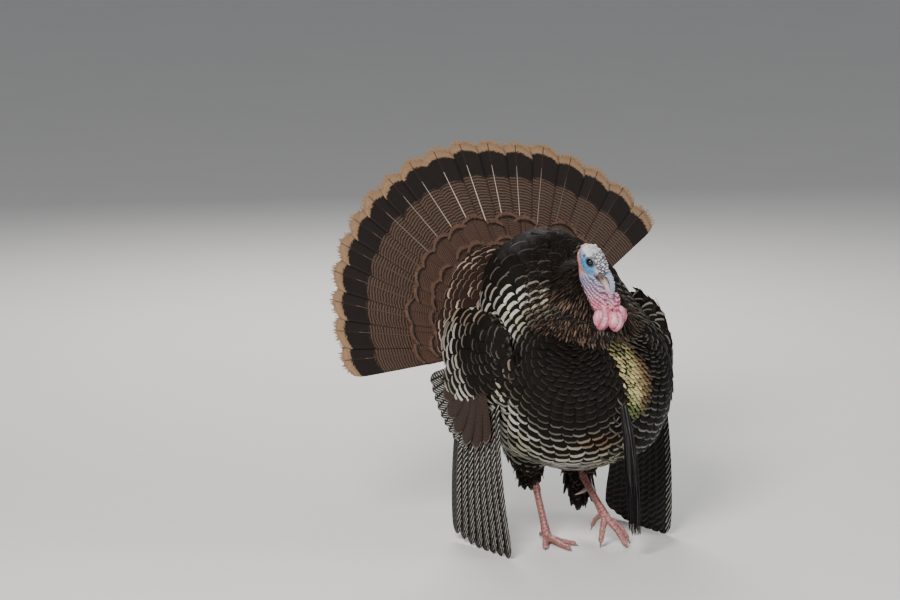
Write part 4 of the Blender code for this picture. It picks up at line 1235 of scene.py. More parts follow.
def makeUndertail(s):
    low, high = np.radians(s["turns"])
    angles = np.linspace(low, high, s["count"]) + (rng.random(s["count"]) - 0.5) * 0.06
    below = np.clip((np.abs(angles - tailMiddle) - 1.4) / 0.9, 0, 1)
    ends = s["tip"] * (1 - 0.2 * below) - 0.01 * rng.random(s["count"])

    def height(radius):
        return tailBow(radius) - s["lift"] - s["hill"] * np.clip(1 - (radius / s["hillEnd"]) ** 1.6, 0, 1)

    half = s["tip"] * (high - low) / s["count"] * s["overlap"]
    tailPiece(s["name"], s, angles, ends, height, half, -1)


for plan in (undertailLong, undertailMid, undertailShort):
    makeUndertail(plan)

# hub = left, ahead and up; radius = where the widths are taken; shaft = half width, thickness and lift
primaryPlan = {"hub": (0.206, 0.104, 0.8), "root": 0.5, "count": 8, "turns": (-6.9, 7.8), "splay": -1.4,
               "lengths": (0.79, 0.8035, 0.806), "radius": 0.8, "overlap": 0.92, "bow": 0.0075,
               "tilt": -0.17, "shaftBack": -0.0045, "shaft": (0.0011, 0.001, 0.0009), "rows": 18,
               "swell": (0.85, 1, 0.16, 0.85), "shape": {"columns": 6, "round": 0.55, "cup": 0.06},
               "thick": 0.0006, "kind": "wingQuills", "slot": "barred_plumage"}
secondaryPlan = dict(primaryPlan, hub=(0.206, 0.14, 0.388), root=0.075, count=10, turns=(20, 74),
                     lengths=(0.2, 0.206), radius=0.205, overlap=0.72, tilt=-0.07, rows=14,
                     swell=(0.62, 1, 0.25, 0.85), shape={"columns": 6, "round": 0.55, "cup": 0.05},
                     thick=0.0005, kind="secondQuills")
tertialPlan = dict(primaryPlan, hub=(0.2095, 0.146, 0.38), root=0.06, turns=(22, 34, 46, 58, 70, 82, 95),
                   lengths=(0.15, 0.164, 0.176, 0.184, 0.186, 0.178, 0.16), half=0.025, tilt=-0.09, rows=12,
                   swell=(0.55, 1, 0.22, 0.75), shape={"columns": 6, "round": 0.8, "cup": 0.1},
                   thick=0.0005, kind="tertialQuills")


def keepOffFloor(piece):
    co = points(piece)
    co[:, 2] = np.maximum(co[:, 2], 0.0003)
    movePoints(piece, co)


def rowOf(s):
    # The turns of a row of quills, and half the width of one that laps over its neighbour
    low, high = np.radians(s["turns"])
    return spaced(low, high, s["count"]), s["radius"] * (high - low) / s["count"] * s["overlap"]


def wingHub(s, sign):
    left, ahead, up = s["hub"]
    return spot(sign * left, ahead, up)


def makePrimaries(side, sign, s):
    splay = math.radians(s["splay"])
    outward, down = np.array((sign, 0.0, 0.0)), np.array((0.0, 0.0, -1.0))
    axes = (down * math.cos(splay) + outward * math.sin(splay), np.array((0.0, -1.0, 0.0)),
            outward * math.cos(splay) - down * math.sin(splay))
    angles, half = rowOf(s)
    ends = np.interp(np.linspace(0, 1, s["count"]), (0, 0.45, 1), s["lengths"])

    def height(radius):
        return s["bow"] * np.sin((radius - s["root"]) / (s["radius"] - s["root"]) * math.pi)

    vanes, lines = radialPiece("wing_primary_quills_" + side, s, wingHub(s, sign), axes, angles, ends, height,
                               s["tilt"], half, mirror=sign, offCentre=s["shaftBack"])
    spine, along, up, radius = [line[:, 2:] for line in lines]
    spine = spine + unit(np.cross(up, along)) * sign * s["shaftBack"]
    half, thick, lift = s["shaft"]
    shafts = addShafts("wing_primary_shafts_" + side, (spine, along, up, radius), 0, half, thick,
                       "barred_plumage", lift)
    for piece in (vanes, shafts):
        keepOffFloor(piece)
    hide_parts("wing_primaries_" + side)


def makeSecondaries(side, sign, s, t):
    axes = (np.array((0.0, 1.0, 0.0)), np.array((0.0, 0.0, -1.0)), np.array((sign, 0.0, 0.0)))
    angles, half = rowOf(s)
    ends = np.linspace(*s["lengths"], s["count"])
    vanes, _ = radialPiece("wing_secondary_quills_" + side, s, wingHub(s, sign), axes, angles, ends,
                           lambda r: 0 * r, s["tilt"], half, mirror=sign)
    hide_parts("wing_secondaries_" + side)
    radialPiece("wing_tertials_" + side, t, wingHub(t, sign), axes, np.radians(t["turns"]),
                np.array(t["lengths"]), lambda r: 0.006 * (1 - r / 0.2), t["tilt"], t["half"])


for side, sign in bothSides:
    makePrimaries(side, sign, primaryPlan)
    makeSecondaries(side, sign, secondaryPlan, tertialPlan)

beardPlan = {"strands": 260, "rows": 12, "sides": 4, "radius": 0.00085,
             "path": ((0.306, 0.33, 0.005, 0.0045), (0.326, 0.304, 0.0085, 0.006),
                      (0.343, 0.24, 0.0115, 0.0072), (0.347, 0.18, 0.0138, 0.008),
                      (0.35, 0.12, 0.0145, 0.008), (0.351, 0.05, 0.013, 0.0065)),  # ahead, up, halves
             "dark": (0.004, 0.0036, 0.004), "pale": (0.21, 0.2, 0.205)}


def beardMaterial(s):
    material, shader = newMaterial("beardBristles")
    own = split(named(shader, "plume")["Color"])[2]
    streak = noisy(places(shader), 60.0)
    # a few strands streaked pale: painted highlights on the black bristles
    strandGlint = times(maths("POWER", own, 5.0), streak, clamp=True)
    feed(shader, {"Base Color": blend(strandGlint, s["dark"], s["pale"]), "Specular IOR Level": 0.18,
                  "Roughness": times(streak, 0.25, 0.32), "Normal": bump(streak, 0.2, 0.0003)})
    return material


def makeBeard(s):
    path, rows, count, sides = np.array(s["path"]), s["rows"], s["strands"], s["sides"]
    v = np.linspace(0, 1, rows)
    turn = rng.random(count)[:, None] * math.tau
    out = np.sqrt(rng.random(count))[:, None]
    t = (1 - 0.5 * rng.random(count) ** 1.5)[:, None] * v
    ahead, up, half, deep = [np.interp(t, np.linspace(0, 1, len(path)), column) for column in path.T]
    wave = 0.0012 * np.sin(t * 9 + turn * 5)
    left = np.cos(turn) * out * half + wave - 0.009 + 0.017 * t
    ahead = ahead + np.sin(turn) * out * deep + 0.4 * wave
    centre = table(middleX + left, rootY - ahead, up)
    ring = np.arange(sides) / sides * math.tau + 0.4
    radius = s["radius"] * (1 - 0.55 * v) * 1.15
    verts = centre[:, :, None, :] + table(np.cos(ring), np.sin(ring), 0) * radius[None, :, None, None]
    grid = np.arange(count * rows * sides).reshape(count, rows, sides)
    beyond = np.roll(grid, -1, axis=2)
    faces = table(grid[:, :-1], beyond[:, :-1], beyond[:, 1:], grid[:, 1:]).reshape(-1, 4)
    faces = np.concatenate([faces, grid[:, 0, ::-1], grid[:, -1]])
    cell = np.stack(np.broadcast_arrays(np.arange(sides) / sides, v[None, :, None], grid)[:2], axis=-1)
    plume = table(0, 0, rng.random(count), 0)
    copies = rows * sides
    piece = buildMesh("beard_bristles", verts, faces, beardMaterial(s),
                      gridCells(count, cell.reshape(-1, 2), copies), {"plume": perVertex(plume, copies)},
                      "beard")
    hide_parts("beard")


makeBeard(beardPlan)
print("tail, wings and beard")


def smoothRows(rows, steps):
    # A smooth curve through rows of numbers
    rows = np.array(rows, dtype=float)
    padded = np.concatenate([[2 * rows[0] - rows[1]], rows, [2 * rows[-1] - rows[-2]]])
    t = (np.arange(steps) / steps)[:, None]
    out = []
    for i in range(1, len(padded) - 2):
        a, b, c, d = padded[i - 1:i + 3]
        out.append(0.5 * (2 * b + (c - a) * t + (2 * a - 5 * b + 4 * c - d) * t ** 2
                          + (3 * b - a - 3 * c + d) * t ** 3))
    return np.concatenate([*out, rows[-1:]])


def lofted(path, wide, deep, across, sides=24, ends=(0.6, 0.6)):
    # A closed body along a path, with rounded ends. Gives verts and faces
    path, wide, deep, across = [np.array(x, dtype=float) for x in (path, wide, deep, across)]
    tangent = unit(np.gradient(path, axis=0))
    first, last = min(wide[0], deep[0]) * ends[0], min(wide[-1], deep[-1]) * ends[1]
    caps = 4
    rise = np.sin(np.arange(caps) / caps * math.pi / 2)
    size = np.sqrt(1 - rise ** 2)
    path = np.concatenate([path[:1] - tangent[:1] * (rise[:0:-1, None] * first), path,
                           path[-1:] + tangent[-1:] * (rise[1:, None] * last)])
    tangent = tangent[np.clip(np.arange(len(path)) - caps + 1, 0, len(tangent) - 1)]
    wide, deep = [np.concatenate([x[0] * size[:0:-1], x, x[-1] * size[1:]]) for x in (wide, deep)]
    u = unit(across - tangent * (tangent @ across)[:, None])
    w = np.cross(u, tangent)
    turn = np.arange(sides) * math.tau / sides
    ring = (u[:, None, :] * (np.cos(turn)[None, :] * wide[:, None])[..., None]
            + w[:, None, :] * (np.sin(turn)[None, :] * deep[:, None])[..., None])
    tips = (path[0] - tangent[0] * first * 0.05, path[-1] + tangent[-1] * last * 0.05)
    grid = np.arange(len(path) * sides).reshape(-1, sides)
    beyond = np.roll(grid, -1, axis=1)
    quads = table(grid[:-1], beyond[:-1], beyond[1:], grid[1:]).reshape(-1, 4)
    fans = np.concatenate([table(beyond[0], grid[0], grid.size), table(grid[-1], beyond[-1], grid.size + 1)])
    return np.concatenate([(path[:, None, :] + ring).reshape(-1, 3), tips]), quads.tolist() + fans.tolist()


def ballShape(centre, half, axes=np.eye(3), fineness=3):
    bm = bmesh.new()
    bmesh.ops.create_icosphere(bm, subdivisions=fineness, radius=1.0)
    co = np.array([v.co[:] for v in bm.verts]) * np.array(half)
    faces = [tuple(v.index for v in f.verts) for f in bm.faces]
    bm.free()
    return co[:, :1] * axes[0] + co[:, 1:2] * axes[1] + co[:, 2:] * axes[2] + np.array(centre), faces


def fusedShapes(name, shapes, voxel, rounds):
    # One closed, even mesh from several (verts, faces)
    verts, faces = [], []
    for co, polygons in shapes:
        start = len(verts)
        verts.extend(map(tuple, co.tolist()))
        faces.extend(tuple(start + i for i in p) for p in polygons)
    mesh = bpy.data.meshes.new(name)
    mesh.from_pydata(verts, [], faces)
    piece = fused(name, [mesh], voxel, rounds)
    bpy.data.meshes.remove(mesh)
    return piece


def creases(co, size, seed=0.0):
    # 0 on the border between two cells, and more towards the middle of each
    near = [noise.voronoi(Vector(p))[0] for p in co / size + seed]
    return np.array([x[1] - x[0] for x in near])


def waver(co, size, seed=0.0):
    return np.array([noise.noise(Vector(p)) for p in co / size + seed])


def bell(*slopes, power=2):
    # 1 where every offset is 0, falling away over the width beside it
    return np.exp(-sum((offset / width) ** power for offset, width in slopes))


headPlan = {
    "centre": (0, 0.223, 0.5555), "pitch": 60, "yaw": 30, "eye": (-0.012, 0.005, 0.0172, 0.0067),
    # along, half width, half height, towards the crown
    "head": ((-0.046, 0.008, 0.0085, 0.0), (-0.0405, 0.0156, 0.017, 0.0),
             (-0.03, 0.0205, 0.0236, 0.0), (-0.014, 0.0216, 0.0264, 0.0),
             (0.001, 0.0192, 0.0248, -0.0005), (0.009, 0.0156, 0.0208, -0.001),
             (0.0155, 0.0112, 0.0158, -0.002), (0.019, 0.0078, 0.011, -0.002)),
    # ahead, up, half width, half depth
    "throat": ((0.196, 0.566, 0.015, 0.017), (0.204, 0.546, 0.02, 0.023),
               (0.216, 0.522, 0.023, 0.027), (0.23, 0.5, 0.024, 0.029),
               (0.238, 0.476, 0.0235, 0.027), (0.24, 0.448, 0.02, 0.023),
               (0.236, 0.424, 0.015, 0.018)),
    # left, ahead, up and half sizes
    "lobes": ((-0.015, 0.266, 0.462, 0.0152, 0.0176, 0.0212),
              (0.008, 0.281, 0.458, 0.0148, 0.0158, 0.0198),
              (0.029, 0.265, 0.466, 0.013, 0.016, 0.018)),
    "folds": ((0.01, 0.262, 0.49, 0.0092, 0.0108, 0.017),
              (-0.006, 0.256, 0.486, 0.01, 0.011, 0.014),
              (0.022, 0.26, 0.493, 0.008, 0.011, 0.017),
              (0.002, 0.262, 0.47, 0.012, 0.012, 0.016),
              (0.019, 0.262, 0.47, 0.011, 0.012, 0.016)),
    # the brow at the snood's root, and the skin round the root of the bill
    "brow": ((0.01, 0.015, 0.0005), (0.0085, 0.009, 0.0105)),
    "jaw": ((0.002, -0.012, 0), (0.013, 0.008, 0.0125)),
    "snoodRoot": (0.013, 0.0145, 0), "snoodOut": 0.013, "snoodAside": 0.007, "snoodLength": 0.0595,
    "snoodSize": (0.008, 0.0029), "throatLumps": 34, "throatLump": (0.004, 0.0058), "wattleLumps": 16,
    "wattleLump": (0.0028, 0.0052), "crownLumps": 34, "crownLump": (0.0019, 0.0035), "voxel": 0.00092,
}


def findHeadAxes(s):
    pitch, yaw = math.radians(s["pitch"]), math.radians(s["yaw"])
    level, up = np.array((math.sin(yaw), -math.cos(yaw), 0.0)), np.array((0.0, 0.0, 1.0))
    along = level * math.cos(pitch) - up * math.sin(pitch)
    crown = level * math.sin(pitch) + up * math.cos(pitch)
    left = np.cross(along, crown)
    return along, crown, left * (1 if left[0] > 0 else -1)


headAxes = findHeadAxes(headPlan)
headCentre = spot(*headPlan["centre"])


def fromHead(along, crown, left):
    return headCentre + headAxes[0] * along + headAxes[1] * crown + headAxes[2] * left


def headPlaces(co):
    return table(*[(co - headCentre) @ axis for axis in headAxes])


def snoodPath(share):
    s = headPlan
    out = headAxes[1] * (s["snoodOut"] * math.sin(share * math.pi / 2))
    out += headAxes[2] * (s["snoodAside"] * share)
    way = headAxes[0] * (1 - share) + np.array((0.0, 0.0, -1.0)) * share
    return fromHead(*s["snoodRoot"]) + out + way * (s["snoodLength"] * share)


def snoodGap(co, first, count):
    # How far points are from the snood's middle line
    return np.min([np.linalg.norm(co - snoodPath(v), axis=1) for v in np.linspace(first, 1, count)], axis=0)


def headShapes(s):
    rows = smoothRows(s["head"], 6)
    path = [fromHead(r[0], r[3], 0) for r in rows]
    shapes = [lofted(path, rows[:, 1], rows[:, 2], headAxes[2], 40, (0.5, 0.3))]
    rows = smoothRows(s["throat"], 6)
    path = [at(0, r[0], r[1]) for r in rows]
    shapes.append(lofted(path, rows[:, 2], rows[:, 3], (1, 0, 0), 36, (0.3, 0.6)))
    shares = np.linspace(0, 1, 22)
    path = [snoodPath(v) for v in shares]
    sizes = between(s["snoodSize"], shares ** 0.8) - 0.0003 * np.sin(shares * math.pi)
    shapes.append(lofted(path, sizes, sizes * 0.92, headAxes[2], 18, (0.2, 1.0)))
    for centre, half in (s["brow"], s["jaw"]):
        shapes.append(ballShape(fromHead(*centre), half, headAxes))
    for lobe in s["lobes"] + s["folds"]:
        shapes.append(ballShape(at(*lobe[:3]), lobe[3:]))
    # Soft lumps: a row down the front of the throat, smaller ones round the wattles and over the forehead
    for k in range(s["throatLumps"]):
        share = k / (s["throatLumps"] - 1)
        up = 0.528 - 0.056 * share + 0.002 * (rng.random() - 0.5)
        base, deep = [np.interp(up, (0.424, 0.476, 0.5, 0.522), x)
                      for x in ((0.236, 0.238, 0.23, 0.216), (0.018, 0.027, 0.029, 0.027))]
        turn = (-0.75, 0.05, 0.75)[k % 3] + 0.25 * (rng.random() - 0.5)
        deep += 0.0014 + 0.013 * share
        size = between(s["throatLump"], rng.random())
        centre = at(0.022 * math.sin(turn) + 0.004 + 0.006 * share, base + deep * math.cos(turn), up)
        shapes.append(ballShape(centre, (size, size, size * 1.1), fineness=2))
    for k in range(s["wattleLumps"]):
        left, ahead, up, wide, deep, tall = s["lobes"][k % 3]
        turn, rise = rng.random() * 6.28, 0.2 + 0.6 * rng.random()
        size = between(s["wattleLump"], rng.random())
        flat = math.sqrt(1 - rise * rise)
        centre = at(left + wide * 0.92 * flat * math.cos(turn), ahead + deep * 0.92 * flat * math.sin(turn),
                    up + tall * 0.92 * rise)
        shapes.append(ballShape(centre, size, fineness=2))
    for _ in range(s["crownLumps"]):
        a = -0.04 + 0.052 * rng.random()
        turn = (rng.random() - 0.5) * 2.1
        half = np.interp(a, (-0.044, -0.031, -0.014, 0.002, 0.014), (0.016, 0.0235, 0.0262, 0.0242, 0.018))
        size = between(s["crownLump"], rng.random())
        centre = fromHead(a, half * math.cos(turn), half * 0.8 * math.sin(turn))
        shapes.append(ballShape(centre, (size * 1.15, size, size), headAxes, 2))
    return shapes


def headFolds(co):
    # How far the skin is raised, and masks that the colours follow
    a, c, s = headPlaces(co).T
    left, ahead, up = birdPlaces(co).T
    swirl, fine = waver(co, 0.011, 3.0), waver(co, 0.0035, 9.0)
    fore, over = a - headPlan["eye"][0], c - headPlan["eye"][1]
    away = np.sqrt((fore / 1.32) ** 2 + over ** 2)
    onSide = easeIn(np.abs(s), 0.01, 0.015)
    offEye = 1 - onSide * easeIn(away, 0.016, 0.012)
    head = easeIn(up - 0.3 * (ahead - 0.2), 0.525, 0.543)
    throat = 1 - head
    warts = np.clip(creases(co * (1.0, 1.0, 1.25), 0.0066, 0.3) / 0.38, 0, 1)
    grains = np.clip(creases(co, 0.0024, 5.1) / 0.36, 0, 1) ** 0.7
    cracked = 0.25 + 0.75 * easeIn(a, -0.03, -0.012)
    top = easeIn(c, 0.006, 0.015) * easeIn(a, -0.052, -0.044) * easeIn(a, 0.03, 0.018)
    snood = easeIn(snoodGap(co, 0.22, 12), 0.0085, 0.0065) * easeIn(a, 0.01, 0.019)
    wattle = np.max([bell((left - x, wide * 1.25), (ahead - y, deep * 1.3), (up - z, tall * 1.15), power=4)
                     for x, y, z, wide, deep, tall in headPlan["lobes"]], axis=0)
    h = 0.0038 * top * cracked * (warts - 0.6) * offEye + 0.00035 * (grains - 0.6) * head * offEye
    h += 0.0006 * easeIn(a, -0.03, -0.04) * (warts - 0.5)
    # lids: a rim round the eye, the groove behind it and two slack folds below and behind
    low = easeIn(over, 0.004, -0.004) * 0.5 + 0.5
    rim = 0.0021 * bell((away - 0.0061, 0.0013)) + 0.0008 * bell((away - 0.0092, 0.001)) * low
    rim += 0.0007 * bell((away - 0.0121 - 0.0012 * swirl, 0.0012)) * low
    rim -= 0.0006 * bell((away - 0.0078, 0.0008)) + 0.006 * easeIn(away, 0.0053, 0.0044)
    # brow shelf over the eye, the hollow between eye and bill, and the ear
    rim += 0.0012 * bell((over - 0.009, 0.003), (fore, 0.011))
    rim -= 0.0009 * bell((c - 0.001, 0.005), (a - 0.007, 0.005))
    ear = bell((fore + 0.0165, 0.003), (over + 0.006, 0.0042)) * onSide
    rim += 0.0008 * bell((np.hypot(fore + 0.0165, over + 0.006) - 0.006, 0.0014))
    h += onSide * rim - 0.0022 * ear
    # slanting beaded folds of the throat, running forward and down
    line = (0.6 * ahead + 0.8 * up + 0.0022 * swirl) / 0.0054
    along = (0.8 * ahead - 0.6 * up + 0.3 * np.abs(left) + 0.0014 * fine) / 0.0052
    bead = 0.3 + 0.7 * np.abs(np.sin(math.pi * (along + 0.37 * np.floor(line)))) ** 0.6
    fold = np.abs(np.sin(math.pi * line)) ** 0.7 * bead
    cheek = easeIn(a - 0.35 * (c + 0.02), -0.004, -0.016) * easeIn(c, 0.0, -0.01)
    amount = np.clip(throat + 0.75 * cheek, 0, 1) * (1 - wattle) * offEye
    h += amount * (0.0026 * (fold - 0.55) + 0.0003 * (grains - 0.5))
    # wattles: broad soft lumps with a few deep furrows
    furrow = np.abs(np.sin(math.pi * ((left * 0.9 - 0.25 * up + 0.003 * swirl) / 0.0125))) ** 0.5
    h += wattle * (0.0012 * (furrow - 0.75) + 0.00045 * (warts - 0.5) + 0.00012 * fine)
    # the snood's rings
    rings = np.sin(up / 0.0029 * math.pi + 1.8 * swirl) * 0.5 + 0.5
    h += snood * (0.00065 * rings ** 0.6 - 0.0002 + 0.0001 * fine) + 0.0001 * fine
    # creaseShade: where painted shade darkens the skin: between the crown's warts, in the throat's folds and
    # the wattles' furrows, between the snood's rings, in the ear and the groove round the eye
    creaseShade = (top * (1 - warts) * cracked * 1.6 + amount * (1 - fold) * 1.5 + wattle * (1 - furrow) * 1.1
              + snood * (1 - rings) * 0.75 + head * 0.35 * (1 - grains) + ear
              + onSide * bell((away - 0.0077, 0.0008)))
    # colours: white crown, sky-blue face, red edge of the nape, pink wattles, pale snood
    blue = bell((a + 0.005, 0.023), (c + 0.003, 0.0125), power=4) * head + 0.4 * cheek * head
    crown = easeIn(c + 0.4 * np.clip(-a - 0.018, 0, 0.03), 0.007, 0.0115)
    white = np.clip(crown + 0.9 * easeIn(a, 0.002, 0.009) * easeIn(c, 0.001, 0.006), 0, 1)
    white = white * head * (1 - snood)
    nape = easeIn(c + 0.3 * (a + 0.03), -0.0085, -0.015) * easeIn(a, 0.006, -0.006)
    nape = np.maximum(easeIn(a, -0.044, -0.0475), nape) * head
    red = wattle + 0.85 * easeIn(up, 0.545, 0.48) * throat
    lid = onSide * easeIn(away, 0.0074, 0.006)
    return h, table(white, blue, red, snood), table(creaseShade, nape, lid, wattle)


def clearOfBill(co):
    # The throat's skin gives way under the bill, so that the horn shows from the gape to its tip
    a, c, s = headPlaces(co).T
    under = np.interp(a, (0.012, 0.024, 0.038, 0.054, 0.066), (-0.017, -0.015, -0.011, -0.008, -0.007))
    near = easeIn(np.abs(s), 0.014, 0.008) * easeIn(a, 0.012, 0.018) * easeIn(a, 0.076, 0.066)
    near *= easeIn(snoodGap(co, 0, 14), 0.0085, 0.0105)
    drop = np.clip(c - under, 0, 0.016) * near * easeIn(c, 0.012, 0.008)
    return co - headAxes[1] * drop[:, None]


def makeHeadSkin(s, corner):
    piece = fusedShapes("headSkin", headShapes(s), s["voxel"], 5)
    unwrapInto(piece, *corner)
    co = points(piece)
    raised, zones, folds = headFolds(co)
    movePoints(piece, clearOfBill(co + normals(piece) * raised[:, None]))
    relax(piece, 1, 0.25)
    paint(piece.data, "zones", np.clip(zones, 0, 1))
    paint(piece.data, "folds", np.clip(folds, 0, 1))
    print("head skin", len(piece.data.polygons), "faces")
    return piece


headLooks = {
    # The CreaseShade colours are painted shade for the creases; the white one also darkens the specks, and
    # the snood's also its darker mottle
    "shade": (0.46, 0.45, 0.55), "lilac": (0.36, 0.34, 0.45), "white": (0.76, 0.76, 0.78),
    "whiteCreaseShadeAndSpeck": (0.035, 0.035, 0.055), "blue": (0.045, 0.215, 0.45), "bluePale": (0.15, 0.42, 0.64),
    "blueCreaseShade": (0.012, 0.045, 0.13), "pink": (0.76, 0.24, 0.34), "pinkPale": (0.88, 0.5, 0.57),
    "pinkCreaseShade": (0.22, 0.016, 0.045), "nape": (0.56, 0.11, 0.09), "napePale": (0.76, 0.38, 0.34),
    "snood": (0.54, 0.58, 0.7), "snoodDeepAndCreaseShade": (0.3, 0.33, 0.48), "vein": (0.56, 0.11, 0.15),
    "lid": (0.006, 0.008, 0.014), "rough": 0.34,
}


def headMaterial(s):
    material, shader = newMaterial("headSkin")
    where, zones, folds = places(shader), named(shader, "zones"), named(shader, "folds")
    white, blue, red = split(zones["Color"])
    creaseShade, nape, lid = split(folds["Color"])
    mottle, speck = noisy(where, 260.0), cells(where, 900.0)
    # Creases are darkened with painted shade towards the deep colours
    colour = blend(creaseShade, blend(mottle, s["shade"], s["lilac"]), s["blueCreaseShade"])
    flesh = blend(ramp(noisy(where, 70.0, 2.0), 0.35, 0.62), s["pink"], s["pinkPale"])
    colour = blend(red, colour, blend(times(creaseShade, 0.95), flesh, s["pinkCreaseShade"]))
    sky = blend(ramp(mottle, 0.38, 0.66), s["blue"], s["bluePale"])
    colour = blend(blue, colour, blend(times(creaseShade, 0.8), sky, s["blueCreaseShade"]))
    chalk = blend(ramp(mottle, 0.28, 0.46), s["lilac"], s["white"])
    colour = blend(white, colour, blend(times(creaseShade, 0.92), chalk, s["whiteCreaseShadeAndSpeck"]))
    colour = blend(times(nape, 0.85), colour, blend(mottle, s["nape"], s["napePale"]))
    drape = blend(mottle, s["snoodDeepAndCreaseShade"], s["snood"])
    colour = blend(zones["Alpha"], colour, blend(times(creaseShade, 0.8), drape, s["snoodDeepAndCreaseShade"]))
    veins = cells(blend(0.12, where, noisy(where, 90.0)), 190.0, "DISTANCE_TO_EDGE")
    colour = blend(times(ramp(veins, 0.05, 0.0), times(red, 0.3)), colour, s["vein"])
    colour = blend(times(lid, 0.94), colour, s["lid"])
    feed(shader, {"Base Color": blend(times(ramp(speck, 0.5, 0.2), 0.18), colour, s["whiteCreaseShadeAndSpeck"]),
                  "Roughness": times(folds["Alpha"], -0.1, times(mottle, 0.22, s["rough"])),
                  "Subsurface Weight": 0.12, "Subsurface Radius": (0.004, 0.0015, 0.001),
                  "Subsurface Scale": 0.5, "Normal": bump(mottle, 0.35, 0.0005, bump(speck, 0.2, 0.0003))})
    return material


headSkin = makeHeadSkin(headPlan, skinSettings["corners"]["head"])

eyeLooks = {"iris": ((0.008, 0.004, 0.003), (0.026, 0.012, 0.007)), "edge": (0.006, 0.004, 0.004),
            "pupil": (0.0012, 0.001, 0.0012), "cornea": 0.035, "gaze": (0.2, 0.08, 0.97)}


def eyeMaterial(s):
    # lie = the turn away from the gaze
    material, shader = newMaterial("eyes")
    turn = split(named(shader, "lie")["Vector"])[0]
    grain = noisy(places(shader), 2200.0)
    colour = blend(ramp(turn, 0.6, 0.75), blend(grain, *s["iris"]), s["edge"])
    feed(shader, {"Base Color": blend(ramp(turn, 0.42, 0.36), colour, s["pupil"]), "Roughness": 0.1,
                  "Coat Weight": 0.35, "Coat Roughness": 0.02, "Normal": bump(grain, 0.03, 0.0001)})
    return material


def makeEyes(s, looks):
    finish = eyeMaterial(looks)
    a, c, aside, radius = s["eye"]
    fore, high, out = looks["gaze"]
    for side, sign in bothSides:
        gaze = unit(headAxes[2] * sign * out + headAxes[0] * fore + headAxes[1] * high)
        co, faces = ballShape((0, 0, 0), radius, fineness=5)
        turn = np.arccos(np.clip(unit(co) @ gaze, -1, 1))
        co = co * (1 + looks["cornea"] * easeIn(turn, 0.75, 0.45))[:, None] + fromHead(a, c, sign * aside)
        piece = buildMesh("eyeball_" + side, co, faces, finish, None, {"lie": table(turn, 0, 0)}, "eye")
        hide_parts("eye_" + side)


makeEyes(headPlan, eyeLooks)

billPlan = {
    # along, half width, half height, towards the crown
    "upper": ((0.006, 0.0088, 0.0085, 0.003), (0.012, 0.009, 0.0086, 0.003),
              (0.024, 0.0086, 0.0078, 0.0034), (0.038, 0.007, 0.0064, 0.0036),
              (0.05, 0.005, 0.005, 0.0022), (0.059, 0.0028, 0.0034, -0.0006),
              (0.0635, 0.001, 0.0014, -0.0038)),
    "lower": ((0.006, 0.0082, 0.0055, -0.0118), (0.012, 0.0082, 0.0055, -0.011),
              (0.024, 0.0076, 0.0048, -0.0088), (0.038, 0.0058, 0.0038, -0.0062),
              (0.049, 0.0036, 0.0026, -0.0046), (0.054, 0.0014, 0.0012, -0.0042)),
    "nostril": 0.0017, "flare": 0.0004, "dark": (0.05, 0.035, 0.032), "mid": (0.23, 0.15, 0.128),
    "pale": (0.72, 0.58, 0.5),
}


def hornMaterial(name, s):
    # lie = 0 at the root to 1 at the tip, painted shade in the nostril and towards the bill's root, and a
    # turn round the body
    material, shader = newMaterial(name)
    share, grooveShade, turn = split(named(shader, "lie")["Vector"])
    streak = noisy(join(times(share, 2.2), times(turn, 9.0), 0.0), 2.0, 4.0)
    grain = noisy(places(shader), 900.0, 2.0)
    colour = blend(ramp(times(streak, 0.35, share), 0.3, 0.95), s["mid"], s["pale"])
    colour = blend(times(ramp(streak, 0.52, 0.72), 0.55), colour, s["dark"])
    feed(shader, {"Base Color": blend(grooveShade, colour, s["dark"]), "Roughness": times(grain, 0.18, 0.28),
                  "Normal": bump(streak, 0.3, 0.0004, bump(grain, 0.15, 0.0002))})
    return material


def hornPiece(name, path, wide, deep, across, finish, sides=24, shaping=None):
    co, faces = lofted(path, wide, deep, across, sides, (0.2, 0.8))
    rows = (len(co) - 2) // sides
    share = np.append(np.repeat(np.linspace(0, 1, rows), sides), (0, 1))
    turn = np.append(np.tile(np.abs(np.arange(sides) / sides * 2 - 1), rows), (0.5, 0.5))
    grooveShade = 0
    if shaping:
        co, grooveShade = shaping(co)
    triangles = [(f[0], f[k], f[k + 1]) for f in faces for k in range(1, len(f) - 1)]
    return buildMesh(name, co, triangles, finish, None, {"lie": table(share, grooveShade, turn)}, "horn")


def shapeUpperBill(co):
    a, c, s = headPlaces(co).T
    nostril = bell((a - 0.027 + 0.3 * (c - 0.005), 0.004), (c - 0.006, 0.0016))
    nostril *= easeIn(np.abs(s), 0.003, 0.005)
    inward = billPlan["nostril"] * nostril - billPlan["flare"] * easeIn(a, 0.026, 0.016)
    co = co - unit(headAxes[2] * s[:, None]) * inward[:, None]
    # painted shade: darker in the nostril and towards the root of the bill
    return co, np.clip(nostril * 1.4 + 0.75 * easeIn(a, 0.036, 0.02), 0, 1)


def shapeLowerBill(co):
    # painted shade: darker towards the root of the lower bill
    return co, 0.75 * easeIn(headPlaces(co)[:, 0], 0.036, 0.02)


def makeBill(s):
    finish = hornMaterial("billHorn", s)
    for name, shaping in (("upper", shapeUpperBill), ("lower", shapeLowerBill)):
        rows = smoothRows(s[name], 8)
        piece = hornPiece("bill_horn_" + name, [fromHead(r[0], r[3], 0) for r in rows], rows[:, 1] * 0.99,
                          rows[:, 2] * 0.99, headAxes[2], finish, shaping=shaping)
        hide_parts("bill_" + name)


makeBill(billPlan)
print("eyes and bill")

